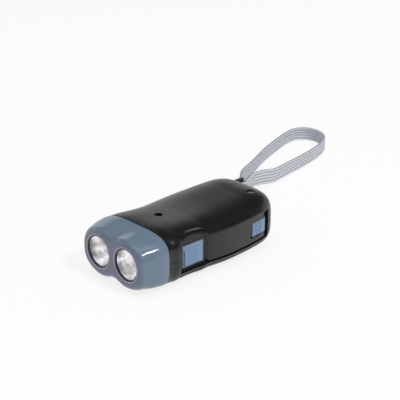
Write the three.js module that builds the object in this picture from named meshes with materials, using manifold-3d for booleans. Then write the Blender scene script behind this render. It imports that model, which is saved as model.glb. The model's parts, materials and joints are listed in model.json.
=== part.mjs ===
// A squeeze-dynamo torch with two lamps, lying on its belly.
// Millimetres. X runs across the hand with the lever on +X, Y from the lamps to the strap, Z up.
import * as THREE from "three";
import { mergeVertices } from "three/addons/utils/BufferGeometryUtils.js";
import Module from "manifold-3d";

const wasm = await Module();
wasm.setup();

// Driving dimensions of the body
const bodyLength = 103;
const bodyHalfWidth = 26.9;
const bodyHeight = 31;
const cornerPower = 3.84;
const wall = 2;
const footTrim = 0.35;
const splitHeight = 15.4;
const seamGap = 0.2;
const runningGap = 0.3;
const overrun = 10;
const frontY = -bodyLength / 2;
const rearY = bodyLength / 2;

// The body's outline at stations along its length:
// share of the length, of the half width, of the height at the top, of the height at the belly.
const bodyStationShares = [
  [0, 0.912, 0.945, 0.03],
  [0.044, 0.915, 0.945, 0.026],
  [0.092, 0.959, 0.952, 0.02],
  [0.15, 0.985, 0.968, 0.015],
  [0.209, 0.95, 0.981, 0.012],
  [0.286, 0.9, 0.975, 0.008],
  [0.364, 0.892, 0.96, 0.004],
  [0.461, 0.955, 0.945, 0],
  [0.578, 1, 0.945, 0],
  [0.694, 0.985, 0.962, 0],
  [0.811, 0.941, 0.985, 0.004],
  [0.898, 0.874, 1, 0.008],
  [0.956, 0.77, 0.968, 0.03],
  [0.985, 0.632, 0.887, 0.07],
  [1, 0.461, 0.784, 0.13],
];

// Lamp head
const headLength = 17.5;
const headPower = 2.5;
const headEdgeRadius = 3;
const headEdgeShares = [0, 0.29, 0.55, 0.78, 1];
const saddleTop = 2.4;
const saddleBelly = 3.3;
const saddleHalfWidth = 7;
const headFrontWall = 5.5;
const neckLength = 5;
const neckInset = 2.4;
const neckWall = 1.6;
const headGap = 0.25;
const seamY = frontY + headLength;
const neckFrontY = seamY - neckLength;

// Lamps
const lampSpacing = 22.4;
const lampHeight = 15.6;
const lampRadius = 9.1;
const lensThickness = 1;
const lensRecess = 1.3;
const reflectorDepth = 10.9;
const reflectorFlangeRadius = 9.7;
const reflectorFlange = 1;
const reflectorShell = 0.8;
const reflectorLip = 0.5;
const ledRadius = 2.5;
const ledLength = 5.8;
const ledFlangeRadius = 2.8;
const ledFlange = 0.7;
const ledBoardHalfWidth = 17;
const ledBoardHeight = 15;
const boardThickness = 1.6;
const boardPostWidth = 3;
const boardPostLift = 1.9;

// Switch pocket, on the lever's side
const pocketFrontY = -26.1;
const pocketRearY = -0.7;
const pocketHalfHeight = 10.5;
const pocketFloorX = 23;
const pocketPanel = 1.8;
const flareHeight = 1.7;
const flareFrontY = -33.5;
const flareRearY = -3.5;
const flareRamp = 6.5;
const pocketShares = [
  [0, 0.74],
  [0.024, 0.79],
  [0.047, 0.845],
  [0.07, 0.886],
  [0.122, 0.94],
  [0.181, 0.972],
  [0.276, 1],
  [0.394, 0.998],
  [0.524, 0.985],
  [0.618, 0.97],
  [0.665, 0.94],
  [0.709, 0.9],
  [0.74, 0.84],
  [0.77, 0.77],
  [0.8, 0.735],
  [1, 0.733],
];
const pocketLowerShare = 0.83;

// Switch
const switchTravel = 1.7;
const sliderFrontY = -22.9;
const sliderRearY = -8.2;
const sliderBottomZ = 8.8;
const sliderTopZ = 20.9;
const sliderFaceX = 23.9;
const thumbPadRise = 1.1;
const thumbPadFrontInset = 0.4;
const thumbPadRearInset = 2.3;
const thumbPadBottomInset = 1.2;
const thumbPadTopInset = 2;
const thumbGrooves = 5;
const thumbGroovePitch = 1.55;
const thumbGrooveWidth = 0.6;
const thumbGrooveDepth = 0.35;
const thumbGrooveFrontInset = 2.7;
const thumbGrooveEndInset = 0.9;
const retainerThickness = 0.9;
const retainerOverhang = 1.2;
const switchKnobWidth = 3;
const switchKnobReach = 2;
const switchKnobHalfHeight = 1.5;
const switchForkWall = 1;
const switchBodyDepth = 4.6;
const switchBodyLength = 12;
const switchBodyHeight = 8;
const switchRibWidth = 1.6;

// Squeeze lever
const leverPivotX = 19.5;
const leverPivotY = -1.2;
const leverNoseRadius = 5;
const leverReach = 43.7;
const leverInset = 1.6;
const leverBottomZ = 7.3;
const leverTopZ = 22.5;
const leverGap = 0.5;
const leverSkin = 2;
const leverFlange = 1.4;
const leverEndWall = 1.2;
const leverFlangeInnerX = 12.6;
const leverFlangeCornerY = 33;
const leverFlangeEndX = 15.7;
const leverPinRadius = 1.5;
const leverPinBossRadius = 3;
const springNotchRadius = 3.9;
const springWire = 0.6;
const springCoilRadius = 2.5;
const springTurns = 3;
const springPitch = 0.95;
const springInnerLeg = 7;
const springOuterLeg = 7.5;
const springExtraDegrees = 270;

// Lever lock, which slides in the lever's skin
const lockTravel = 1.5;
const lockFrontY = 29.3;
const lockRearY = 40.9;
const lockBottomZ = 10.4;
const lockTopZ = 18.6;
const lockProud = 0.3;
const lockStep = 0.5;
const lockStepY = 36.3;
const lockRibs = 4;
const lockRibPitch = 1.3;
const lockRibWidth = 0.5;
const lockRibDepth = 0.3;
const lockPlate = 1.2;
const lockPlateOverhang = 1;
const lockArmWidth = 1.6;
const lockArmHalfHeight = 1.3;
const lockToeX = 15.3;
const lockToeThickness = 1.1;
const lockToeLength = 1.3;
const lockArmY = 33.2;
const catchHalfHeight = 2;
const catchThickness = 1.1;
const catchHook = 1.8;
const catchPostX = 8.2;
const catchPostRadius = 1.4;

// Gear train from the lever to the generator
const firstModule = 0.8;
const fineModule = 0.6;
const sectorWholeTeeth = 60;
const sectorTeeth = 6;
const pinionTeeth = 10;
const firstGearTeeth = 36;
const secondGearTeeth = 30;
const pressureAngleDegrees = 24;
const addendumShare = 0.78;
const dedendumShare = 1.08;
const toothThinning = 0.14;
const sectorMeshDegrees = 150;
const secondGearDegrees = 120;
const rotorDegrees = 60;
const sectorBottomZ = 13.4;
const sectorThickness = 3.2;
const firstPinionBottomZ = 12.6;
const firstGearBottomZ = 17.3;
const firstGearThickness = 2.2;
const secondPinionBottomZ = 16.9;
const secondGearBottomZ = 20.2;
const secondGearThickness = 2.1;
const rotorPinionBottomZ = 20;
const rotorPinionThickness = 2.6;
const axleRadius = 1;
const axleClearance = 0.08;
const axleBossWall = 0.75;
const axleSocketDepth = 2.5;

// Generator
const flywheelRadius = 8.6;
const flywheelThickness = 3.5;
const flywheelBottomZ = 3.4;
const magnetRadius = 5.5;
const magnetHeight = 5;
const magnetBottomZ = 7.2;
const poleGap = 0.5;
const statorBottomZ = 8.2;
const statorThickness = 3;
const statorHalfWidth = 7;
const statorReachX = 4.4;
const statorBackX = -13.2;
const statorLegWidth = 2.4;
const statorArmWidth = 2.5;
const statorPoleX = -6.9;
const statorPoleHalfGap = 3;
const coilHalfLength = 3.9;
const coilWinding = 1.7;
const statorPostRadius = 1.3;

// Battery and electrics
const cellRadius = 7.6;
const cellHeight = 5.8;
const cellCount = 3;
const cellX = -12.2;
const cellY = -23;
const cellBottomZ = 5.2;
const cellButtonRadius = 4;
const cellButtonHeight = 0.4;
const cellCradleWall = 1.1;
const cellCradleHeight = 9;
const rectifierX = -12;
const rectifierY = -3.7;
const rectifierHalfLength = 8;
const rectifierHalfWidth = 4.3;
const rectifierBottomZ = 6;
const rectifierPostRadius = 1.4;
const rectifierPostInset = 2;
const diodeHalfWidth = 1.3;
const diodeHeight = 1.1;
const diodePitch = 3.2;
const capacitorRadius = 2.4;
const capacitorHeight = 4.8;
const capacitorInset = 3.6;
const wireRadius = 0.55;
const coilWireLift = 1.02;

// Screws, driven from the top: place, and the height of the head's top
const screwHeadRadius = 2.1;
const screwHeadHeight = 1.6;
const screwShankRadius = 1.1;
const screwHoleClearance = 0.25;
const screwSlotShare = 0.7;
const screwSlotWidth = 0.6;
const screwSlotDepth = 0.8;
const screwBossWall = 1.1;
const screwTipZ = 9;
const frontScrewX = -1.4;
const frontScrewY = -17.3;
const frontScrewHeadZ = 25.4;
const rearScrewX = 10.8;
const rearScrewY = 40.3;
const rearScrewHeadZ = 30.2;

// Strap lug and strap
const lugX = -11;
const lugMiddleZ = 22;
const lugHalfHeight = 5.6;
const lugArmHalfWidth = 0.9;
const lugArmHalfHeight = 0.6;
const lugRootY = 47;
const lugBarY = 55.6;
const lugBarRadius = 1.2;
const strapWidth = 9;
const strapThickness = 1.6;
const strapCornerShare = 0.33;
const strapFoldDegrees = 50;
const strapLeanDegrees = 25;
const strapRings = 84;
const lugReachY = lugBarY + lugBarRadius;

// The origin is the middle of the rigid torch, with its lug.
const frameShiftY = -(lugReachY - rearY) / 2;

// Facets
const bodyRingPoints = 36;
const cavityRingPoints = 24;
const roundSides = 28;
const smallSides = 12;
const arcSides = 112;

// Solids and geometries

function solidOf(geometry) {
  const bare = geometry.clone();
  bare.deleteAttribute("normal");
  bare.deleteAttribute("uv");
  const merged = mergeVertices(bare, 1e-4);
  const triVerts = new Uint32Array(merged.index.array);
  const vertProperties = new Float32Array(merged.attributes.position.array);
  return new wasm.Manifold(new wasm.Mesh({ numProp: 3, vertProperties, triVerts }));
}

function geometryOf(solid) {
  const mesh = solid.getMesh();
  const geometry = new THREE.BufferGeometry();
  geometry.setAttribute("position", new THREE.BufferAttribute(new Float32Array(mesh.vertProperties), 3));
  geometry.setIndex(new THREE.BufferAttribute(new Uint32Array(mesh.triVerts), 1));
  const faceted = geometry.toNonIndexed();
  faceted.computeVertexNormals();
  return faceted;
}

const join = (first, ...others) => others.reduce((sum, other) => sum.add(other), first);
const cut = (first, ...others) => others.reduce((rest, other) => rest.subtract(other), first);

function block(x0, x1, y0, y1, z0, z1) {
  const geometry = new THREE.BoxGeometry(x1 - x0, y1 - y0, z1 - z0);
  geometry.translate((x0 + x1) / 2, (y0 + y1) / 2, (z0 + z1) / 2);
  return solidOf(geometry);
}

function rodZ(x, y, radius, z0, z1, sides = roundSides) {
  const geometry = new THREE.CylinderGeometry(radius, radius, z1 - z0, sides);
  geometry.rotateX(Math.PI / 2);
  geometry.translate(x, y, (z0 + z1) / 2);
  return solidOf(geometry);
}

function rodY(x, z, radius, y0, y1, sides = roundSides) {
  const geometry = new THREE.CylinderGeometry(radius, radius, y1 - y0, sides);
  geometry.translate(x, (y0 + y1) / 2, z);
  return solidOf(geometry);
}

// A plan outline of [x, y] points, raised from z0 to z1.
function raise(outline, z0, z1) {
  const shape = new THREE.Shape(outline.map(([x, y]) => new THREE.Vector2(x, y)));
  const geometry = new THREE.ExtrudeGeometry(shape, { depth: z1 - z0, bevelEnabled: false });
  geometry.translate(0, 0, z0);
  return solidOf(geometry);
}

// A side outline of [y, z] points, pushed out from x0 to x1.
function pushX(outline, x0, x1) {
  const shape = new THREE.Shape(outline.map(([y, z]) => new THREE.Vector2(y, z)));
  const geometry = new THREE.ExtrudeGeometry(shape, { depth: x1 - x0, bevelEnabled: false });
  geometry.rotateY(Math.PI / 2);
  geometry.rotateX(Math.PI / 2);
  geometry.translate(x0, 0, 0);
  return solidOf(geometry);
}

// Rings of equally many points become one closed skin with a flat cap at each end.
function loftGeometry(rings) {
  const count = rings[0].length;
  const positions = [];
  const push = (...points) => points.forEach((p) => positions.push(p.x, p.y, p.z));
  for (let r = 0; r + 1 < rings.length; r += 1) {
    for (let i = 0; i < count; i += 1) {
      const j = (i + 1) % count;
      const [a, b, c, d] = [rings[r][i], rings[r][j], rings[r + 1][j], rings[r + 1][i]];
      push(a, c, b, a, d, c);
    }
  }
  const middle = (ring) => ring.reduce((sum, p) => sum.add(p), new THREE.Vector3()).divideScalar(count);
  const start = rings[0];
  const end = rings[rings.length - 1];
  const startMiddle = middle(start);
  const endMiddle = middle(end);
  for (let i = 0; i < count; i += 1) {
    const j = (i + 1) % count;
    push(startMiddle, start[i], start[j], endMiddle, end[j], end[i]);
  }
  const geometry = new THREE.BufferGeometry();
  geometry.setAttribute("position", new THREE.Float32BufferAttribute(positions, 3));
  return geometry;
}

// A round tube along a smooth curve through points, with flat ends.
function tubeGeometry(points, radius, steps, sides) {
  const curve = new THREE.CatmullRomCurve3(points.map((p) => new THREE.Vector3(...p)));
  const section = new THREE.Shape();
  for (let i = 0; i < sides; i += 1) {
    const angle = (i / sides) * 2 * Math.PI;
    const method = i === 0 ? "moveTo" : "lineTo";
    section[method](radius * Math.cos(angle), radius * Math.sin(angle));
  }
  return new THREE.ExtrudeGeometry(section, { steps, bevelEnabled: false, extrudePath: curve });
}

// The body's form

const smooth = (low, high, value) => THREE.MathUtils.smoothstep(value, low, high);

// One column of the station table at a place along the body, as a smooth curve through the stations.
function stationShare(column, along) {
  const rows = bodyStationShares;
  let i = 0;
  while (i < rows.length - 2 && along > rows[i + 1][0]) i += 1;
  const slopeAt = (k) => {
    const before = rows[Math.max(k - 1, 0)];
    const after = rows[Math.min(k + 1, rows.length - 1)];
    return (after[column] - before[column]) / (after[0] - before[0]);
  };
  const span = rows[i + 1][0] - rows[i][0];
  const t = THREE.MathUtils.clamp((along - rows[i][0]) / span, 0, 1);
  const startWeight = 2 * t ** 3 - 3 * t ** 2 + 1;
  const startSlope = (t ** 3 - 2 * t ** 2 + t) * span * slopeAt(i);
  const endSlope = (t ** 3 - t ** 2) * span * slopeAt(i + 1);
  return startWeight * rows[i][column] + (1 - startWeight) * rows[i + 1][column] + startSlope + endSlope;
}

const halfWidthAt = (y) => bodyHalfWidth * stationShare(1, (y - frontY) / bodyLength);
const topAt = (y) => bodyHeight * stationShare(2, (y - frontY) / bodyLength);
const bellyAt = (y) => bodyHeight * stationShare(3, (y - frontY) / bodyLength) - footTrim;

// The side with the switch swells out round the pocket.
function flareShareAt(y) {
  const rise = smooth(flareFrontY, flareFrontY + flareRamp, y);
  const fall = 1 - smooth(flareRearY - flareRamp, flareRearY, y);
  return rise * fall;
}

function bodyRing(y, inset, points) {
  const headShare = THREE.MathUtils.clamp((seamY - y) / headLength, 0, 1);
  const power = THREE.MathUtils.lerp(cornerPower, headPower, Math.sqrt(headShare));
  const halfWidth = halfWidthAt(y) - inset;
  const switchHalfWidth = halfWidth + flareHeight * flareShareAt(y);
  const middle = (topAt(y) + bellyAt(y)) / 2;
  const halfHeight = (topAt(y) - bellyAt(y)) / 2 - inset;
  const ring = [];
  for (let i = 0; i < points; i += 1) {
    const angle = (i / points) * 2 * Math.PI;
    const across = Math.sign(Math.cos(angle)) * Math.abs(Math.cos(angle)) ** (2 / power);
    const up = Math.sign(Math.sin(angle)) * Math.abs(Math.sin(angle)) ** (2 / power);
    const x = across * (across > 0 ? switchHalfWidth : halfWidth);
    const saddle = headShare * (up > 0 ? saddleTop : saddleBelly) * Math.exp(-((x / saddleHalfWidth) ** 2));
    ring.push(new THREE.Vector3(x, y, middle + up * halfHeight - up * saddle));
  }
  return ring;
}

const spread = (from, to, count) => Array.from({ length: count + 1 }, (_, i) => from + ((to - from) * i) / count);
const bodyLoft = (stations, points = bodyRingPoints) =>
  solidOf(loftGeometry(stations.map(([y, inset]) => bodyRing(y, inset, points))));

const tableHeight = 0;
const aboveTable = block(-bodyLength, bodyLength, -bodyLength, bodyLength, tableHeight, bodyLength);
const splitLow = splitHeight - seamGap / 2;
const splitHigh = splitHeight + seamGap / 2;
const aboveSplit = block(-bodyLength, bodyLength, -bodyLength, bodyLength, splitHigh, bodyLength);
const belowSplit = block(-bodyLength, bodyLength, -bodyLength, bodyLength, tableHeight, splitLow);

const bodySteps = 12;
const cavitySteps = 9;
const rearRounding = 8;
const rearSteps = 4;
const rearSideY = rearY - rearRounding;
const bodyStations = (from, inset, to, steps) => [
  ...spread(from, rearSideY, steps).map((y) => [y, inset]),
  ...spread(rearSideY, to, rearSteps).slice(1).map((y) => [y, inset]),
];
const bodyOuter = bodyLoft(bodyStations(seamY, 0, rearY, bodySteps));
const neckOverlap = 1.5;
const neckOuter = bodyLoft(spread(neckFrontY, seamY + neckOverlap, 2).map((y) => [y, neckInset]), cavityRingPoints);
const neckBore = bodyLoft(
  spread(neckFrontY - wall, seamY + 2 * neckOverlap, 3).map((y) => [y, neckInset + neckWall]),
  cavityRingPoints,
);
const bodyCavity = bodyLoft(bodyStations(seamY + neckOverlap, wall, rearY - wall, cavitySteps), cavityRingPoints);

// The space in which ribs and bosses stand: it reaches halfway into the walls.
const ribSpace = join(
  bodyLoft(bodyStations(seamY + neckOverlap, wall / 2, rearY - wall / 2, cavitySteps), cavityRingPoints),
  bodyLoft(
    spread(neckFrontY, seamY + 2 * neckOverlap, 2).map((y) => [y, neckInset + neckWall / 2]),
    cavityRingPoints,
  ),
);

// Places that several pieces share

const degrees = Math.PI / 180;
const fromPlace = (x, y, distance, angleDegrees) => [
  x + distance * Math.cos(angleDegrees * degrees),
  y + distance * Math.sin(angleDegrees * degrees),
];
const pitchRadius = (teeth, module) => (teeth * module) / 2;
const sectorRadius = pitchRadius(sectorWholeTeeth, firstModule);
const firstPinionRadius = pitchRadius(pinionTeeth, firstModule);
const firstGearRadius = pitchRadius(firstGearTeeth, fineModule);
const secondPinionRadius = pitchRadius(pinionTeeth, fineModule);
const secondGearRadius = pitchRadius(secondGearTeeth, fineModule);
const [firstX, firstY] = fromPlace(leverPivotX, leverPivotY, sectorRadius + firstPinionRadius, sectorMeshDegrees);
const [secondX, secondY] = fromPlace(firstX, firstY, firstGearRadius + secondPinionRadius, secondGearDegrees);
const [rotorX, rotorY] = fromPlace(secondX, secondY, secondGearRadius + secondPinionRadius, rotorDegrees);
const axleBossRadius = axleRadius + axleClearance + axleBossWall;
const axleHoleRadius = axleRadius + axleClearance;

const firstUpperBossZ = firstGearBottomZ + firstGearThickness + runningGap;
const firstLowerBossZ = firstPinionBottomZ - runningGap;
const secondLowerBossZ = secondPinionBottomZ - runningGap;
const secondUpperBossZ = secondGearBottomZ + secondGearThickness + runningGap;
const rotorLowerBossZ = flywheelBottomZ - runningGap;
const rotorUpperBossZ = rotorPinionBottomZ + rotorPinionThickness + runningGap;
const leverLowerBossZ = leverBottomZ - runningGap;
const leverUpperBossZ = leverTopZ + runningGap;

const reflectorFrontY = frontY + lensRecess + lensThickness + runningGap;
const reflectorRearY = reflectorFrontY + reflectorDepth;
const ledFrontY = reflectorRearY - ledLength + reflectorShell;
const ledRearY = ledFrontY + ledLength + ledFlange;
const ledBoardFrontY = ledRearY + runningGap;
const ledBoardRearY = ledBoardFrontY + boardThickness;
const ledBoardBottomZ = lampHeight - ledBoardHeight / 2;
const boardPostX = ledBoardHalfWidth / 2;

const panelInnerX = pocketFloorX - pocketPanel;
const retainerX = panelInnerX - runningGap;
const switchKnobX = retainerX - retainerThickness - switchKnobReach;
const switchMiddleY = (sliderFrontY + sliderRearY) / 2;
const switchMiddleZ = (sliderBottomZ + sliderTopZ) / 2;
const switchBodyX = switchKnobX - runningGap;

const cellTopZ = cellBottomZ + cellCount * (cellHeight + runningGap);
const rectifierTopZ = rectifierBottomZ + boardThickness;
const statorPostX = rotorX + statorBackX + statorLegWidth / 2;
const statorPostOffset = statorHalfWidth - statorPostRadius;

// Screws

const screws = [
  { name: "front_screw", x: frontScrewX, y: frontScrewY, headZ: frontScrewHeadZ },
  { name: "rear_screw", x: rearScrewX, y: rearScrewY, headZ: rearScrewHeadZ },
];
const screwBoreRadius = screwHeadRadius + screwHoleClearance;
const screwBossRadius = screwBoreRadius + screwBossWall;
const screwHoleRadius = screwShankRadius + screwHoleClearance;

function makeScrew({ x, y, headZ }) {
  const underHead = headZ - screwHeadHeight;
  const solid = join(
    rodZ(x, y, screwHeadRadius, underHead, headZ),
    rodZ(x, y, screwShankRadius, screwTipZ, underHead, smallSides),
  );
  const reach = screwHeadRadius * screwSlotShare;
  const slotTop = headZ + overrun;
  return cut(
    solid,
    block(x - reach, x + reach, y - screwSlotWidth / 2, y + screwSlotWidth / 2, headZ - screwSlotDepth, slotTop),
    block(x - screwSlotWidth / 2, x + screwSlotWidth / 2, y - reach, y + reach, headZ - screwSlotDepth, slotTop),
  );
}

// The two housings

function axleBoss(x, y, fromZ, toZ, radius = axleBossRadius) {
  return rodZ(x, y, radius, fromZ, toZ, smallSides * 2);
}

// The pocket's outline in the side view: it reaches less far below the lever's middle height than above.
const pocketMiddleZ = 15.3;
const pocketAlong = (along) => pocketFrontY + (pocketRearY - pocketFrontY) * along;
const pocketRearShare = pocketShares[pocketShares.length - 1][1];
const pocketUpper = pocketShares.map(([along, height]) => [
  pocketAlong(along),
  pocketMiddleZ + pocketHalfHeight * height,
]);
const pocketLower = pocketShares.map(([along, height]) => [
  pocketAlong(along),
  pocketMiddleZ - pocketHalfHeight * Math.max(pocketLowerShare * height, pocketRearShare),
]);
const pocketOutline = [...pocketUpper, ...pocketLower.reverse()].reverse();
const pocketRecess = pushX(pocketOutline, pocketFloorX, bodyHalfWidth + overrun);

const leverOpening = join(
  block(
    leverPivotX,
    bodyHalfWidth + overrun,
    leverPivotY,
    rearY,
    leverBottomZ - leverGap,
    leverTopZ + leverGap,
  ).intersect(
    rodZ(leverPivotX, leverPivotY, leverReach + leverGap, leverBottomZ - leverGap, leverTopZ + leverGap, arcSides),
  ),
  rodZ(leverPivotX, leverPivotY, leverNoseRadius + leverGap, leverBottomZ - leverGap, leverTopZ + leverGap),
);

const switchWindow = block(
  panelInnerX - overrun,
  bodyHalfWidth + overrun,
  sliderFrontY - switchTravel - runningGap,
  sliderRearY + runningGap,
  sliderBottomZ - runningGap,
  sliderTopZ + runningGap,
);
const panelSeatHeight = pocketHalfHeight + pocketPanel;
const pocketFloor = block(
  panelInnerX,
  pocketFloorX,
  pocketFrontY - wall,
  leverPivotY,
  pocketMiddleZ - panelSeatHeight,
  pocketMiddleZ + panelSeatHeight,
).intersect(ribSpace);

const bodyShell = join(
  cut(join(bodyOuter, neckOuter), bodyCavity, neckBore, pocketRecess),
  pocketFloor,
).intersect(aboveTable);
const openShell = cut(bodyShell, leverOpening, switchWindow);

const floorZ = tableHeight;
const roofZ = bodyHeight;
const lugArms = [-1, 1].map((side) => {
  const z = lugMiddleZ + side * lugHalfHeight;
  return block(
    lugX - lugArmHalfWidth,
    lugX + lugArmHalfWidth,
    lugRootY,
    lugBarY,
    z - lugArmHalfHeight,
    z + lugArmHalfHeight,
  ).add(rodZ(lugX, lugBarY, lugBarRadius, z - lugArmHalfHeight, z + lugArmHalfHeight));
});
const lugBar = rodZ(lugX, lugBarY, lugBarRadius, lugMiddleZ - lugHalfHeight, lugMiddleZ + lugHalfHeight);
const lug = cut(join(lugBar, ...lugArms), bodyCavity);

function makeUpperHousing() {
  const bosses = join(
    axleBoss(firstX, firstY, firstUpperBossZ, roofZ),
    axleBoss(secondX, secondY, secondUpperBossZ, roofZ),
    axleBoss(rotorX, rotorY, rotorUpperBossZ, roofZ),
    rodZ(leverPivotX, leverPivotY, leverPinBossRadius, leverUpperBossZ, roofZ),
    ...screws.map(({ x, y }) => rodZ(x, y, screwBossRadius, splitHigh, roofZ)),
  ).intersect(ribSpace);
  const bores = screws.flatMap(({ x, y, headZ }) => [
    rodZ(x, y, screwBoreRadius, headZ - screwHeadHeight - runningGap, roofZ + overrun),
    rodZ(x, y, screwHoleRadius, splitLow, roofZ, smallSides),
  ]);
  const sockets = [
    rodZ(firstX, firstY, axleHoleRadius, splitLow, firstUpperBossZ + axleSocketDepth, smallSides),
    rodZ(secondX, secondY, axleHoleRadius, splitLow, secondUpperBossZ + axleSocketDepth, smallSides),
    rodZ(rotorX, rotorY, axleHoleRadius, splitLow, rotorUpperBossZ + axleSocketDepth, smallSides),
    rodZ(leverPivotX, leverPivotY, leverPinRadius + axleClearance, splitLow, leverUpperBossZ + axleSocketDepth),
  ];
  return join(cut(openShell.intersect(aboveSplit).add(bosses), ...bores, ...sockets), lug);
}

// The lock's catch: a post with an arm, whose hook stands in front of the lock's toe.
const toeFrontY = lockArmY - lockToeLength;
const catchHookX = lockToeX + lockToeThickness + runningGap + seamGap;
const catchHookY = toeFrontY - runningGap - seamGap;
const catchArmY = catchHookY - catchHook;
const catchZ = (lockBottomZ + lockTopZ) / 2;
const catchTopZ = catchZ + catchHalfHeight;

function makeLowerHousing() {
  const catchBottomZ = catchZ - catchHalfHeight;
  const ribs = join(
    axleBoss(firstX, firstY, floorZ, firstLowerBossZ),
    axleBoss(secondX, secondY, floorZ, secondLowerBossZ, axleHoleRadius + axleBossWall / 2),
    axleBoss(rotorX, rotorY, floorZ, rotorLowerBossZ),
    rodZ(leverPivotX, leverPivotY, leverPinBossRadius, floorZ, leverLowerBossZ),
    ...screws.map(({ x, y }) => rodZ(x, y, screwBossRadius, floorZ, splitLow)),
    ...[-1, 1].map((side) =>
      rodZ(statorPostX, rotorY + side * statorPostOffset, statorPostRadius, floorZ, statorBottomZ - runningGap),
    ),
    ...[-1, 1].map((side) =>
      rodZ(
        rectifierX + side * (rectifierHalfLength - rectifierPostInset),
        rectifierY,
        rectifierPostRadius,
        floorZ,
        rectifierBottomZ - runningGap,
        smallSides,
      ),
    ),
    ...[-1, 1].map((side) =>
      block(
        side * boardPostX - boardPostWidth / 2,
        side * boardPostX + boardPostWidth / 2,
        neckFrontY,
        ledBoardRearY + wall,
        floorZ,
        ledBoardBottomZ + boardPostLift,
      ),
    ),
    ...[-1, 1].map((side) => {
      const y = switchMiddleY + side * (switchBodyLength / 2 - switchRibWidth);
      return block(
        switchBodyX - switchBodyDepth,
        switchBodyX,
        y - switchRibWidth / 2,
        y + switchRibWidth / 2,
        floorZ,
        switchMiddleZ - switchBodyHeight / 2 - runningGap,
      );
    }),
    cut(
      rodZ(cellX, cellY, cellRadius + runningGap + cellCradleWall, floorZ, cellBottomZ + cellCradleHeight),
      rodZ(cellX, cellY, cellRadius + runningGap, cellBottomZ - runningGap, roofZ),
    ),
  ).intersect(ribSpace);
  const catchPost = join(
    rodZ(catchPostX, catchArmY, catchPostRadius, wall / 2, catchTopZ, smallSides),
    block(catchPostX, catchHookX + catchThickness, catchArmY - catchThickness / 2, catchArmY + catchThickness / 2, catchBottomZ, catchTopZ),
    block(catchHookX, catchHookX + catchThickness, catchArmY, catchHookY, catchBottomZ, catchTopZ),
  );
  const holeFloorZ = wall / 2;
  const sockets = [
    rodZ(firstX, firstY, axleHoleRadius, firstLowerBossZ - axleSocketDepth, splitHigh, smallSides),
    rodZ(secondX, secondY, axleHoleRadius, secondLowerBossZ - axleSocketDepth, roofZ, smallSides),
    rodZ(rotorX, rotorY, axleHoleRadius, holeFloorZ, splitHigh, smallSides),
    rodZ(leverPivotX, leverPivotY, leverPinRadius + axleClearance, leverLowerBossZ - axleSocketDepth, splitHigh),
    ...screws.map(({ x, y }) => rodZ(x, y, screwHoleRadius, screwTipZ - runningGap, splitHigh, smallSides)),
    block(
      -bodyHalfWidth,
      bodyHalfWidth,
      ledBoardFrontY - runningGap,
      ledBoardRearY + runningGap,
      ledBoardBottomZ - runningGap,
      splitHigh,
    ).intersect(neckBore),
  ];
  const shell = openShell.intersect(belowSplit);
  const belowCatch = block(-bodyLength, bodyLength, -bodyLength, bodyLength, tableHeight, catchTopZ);
  const whole = join(shell, ribs.intersect(belowCatch), catchPost);
  return cut(whole, ...sockets);
}

// The lamp head

const lampSides = [-1, 1];
const lampNames = { "-1": "left", 1: "right" };
const counterboreRadius = reflectorFlangeRadius + runningGap;

function makeHead() {
  const edgeStations = headEdgeShares.map((share) => [
    frontY + headEdgeRadius * (1 - Math.sqrt(1 - share ** 2)),
    headEdgeRadius * (1 - share),
  ]);
  const headSteps = 6;
  const sideStations = spread(frontY + headEdgeRadius, seamY - headGap, headSteps).slice(1).map((y) => [y, 0]);
  const outer = bodyLoft([...edgeStations, ...sideStations]);
  const hollowFrontY = frontY + headFrontWall;
  const hollow = bodyLoft(
    spread(hollowFrontY, seamY + wall, headSteps / 2).map((y) => [y, wall]),
    cavityRingPoints,
  );
  const holes = lampSides.flatMap((side) => [
    rodY((side * lampSpacing) / 2, lampHeight, lampRadius, frontY - overrun, hollowFrontY + wall, roundSides),
    rodY((side * lampSpacing) / 2, lampHeight, counterboreRadius, reflectorFrontY - runningGap, hollowFrontY + wall, roundSides),
  ]);
  return cut(outer, hollow, ...holes).intersect(aboveTable);
}

function makeLens(side) {
  const radius = lampRadius - runningGap;
  const lens = rodY(0, 0, radius, 0, lensThickness, roundSides);
  const geometry = geometryOf(lens);
  geometry.translate((side * lampSpacing) / 2, frontY + lensRecess, lampHeight);
  return geometry;
}

// A parabolic bowl with a flange at its mouth, turned about the lamp's axis.
function makeReflector(side) {
  const mouthRadius = lampRadius - reflectorLip;
  const throatRadius = ledFlangeRadius + runningGap;
  const bowlSteps = 5;
  const radiusAt = (share) => throatRadius + (mouthRadius - throatRadius) * Math.sqrt(share);
  const inside = spread(0, 1, bowlSteps).map((share) => [radiusAt(share), reflectorDepth * (1 - share)]);
  const outside = inside
    .slice()
    .reverse()
    .map(([radius, depth]) => [radius + reflectorShell, depth])
    .filter(([, depth]) => depth > reflectorFlange);
  const profile = [
    ...inside,
    [reflectorFlangeRadius, 0],
    [reflectorFlangeRadius, reflectorFlange],
    [mouthRadius + reflectorShell / 2, reflectorFlange],
    ...outside,
    inside[0],
  ].map(([radius, depth]) => new THREE.Vector2(radius, depth));
  const geometry = new THREE.LatheGeometry(profile, roundSides);
  geometry.translate((side * lampSpacing) / 2, 0, 0);
  geometry.translate(0, reflectorFrontY, lampHeight);
  return geometry;
}

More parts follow.
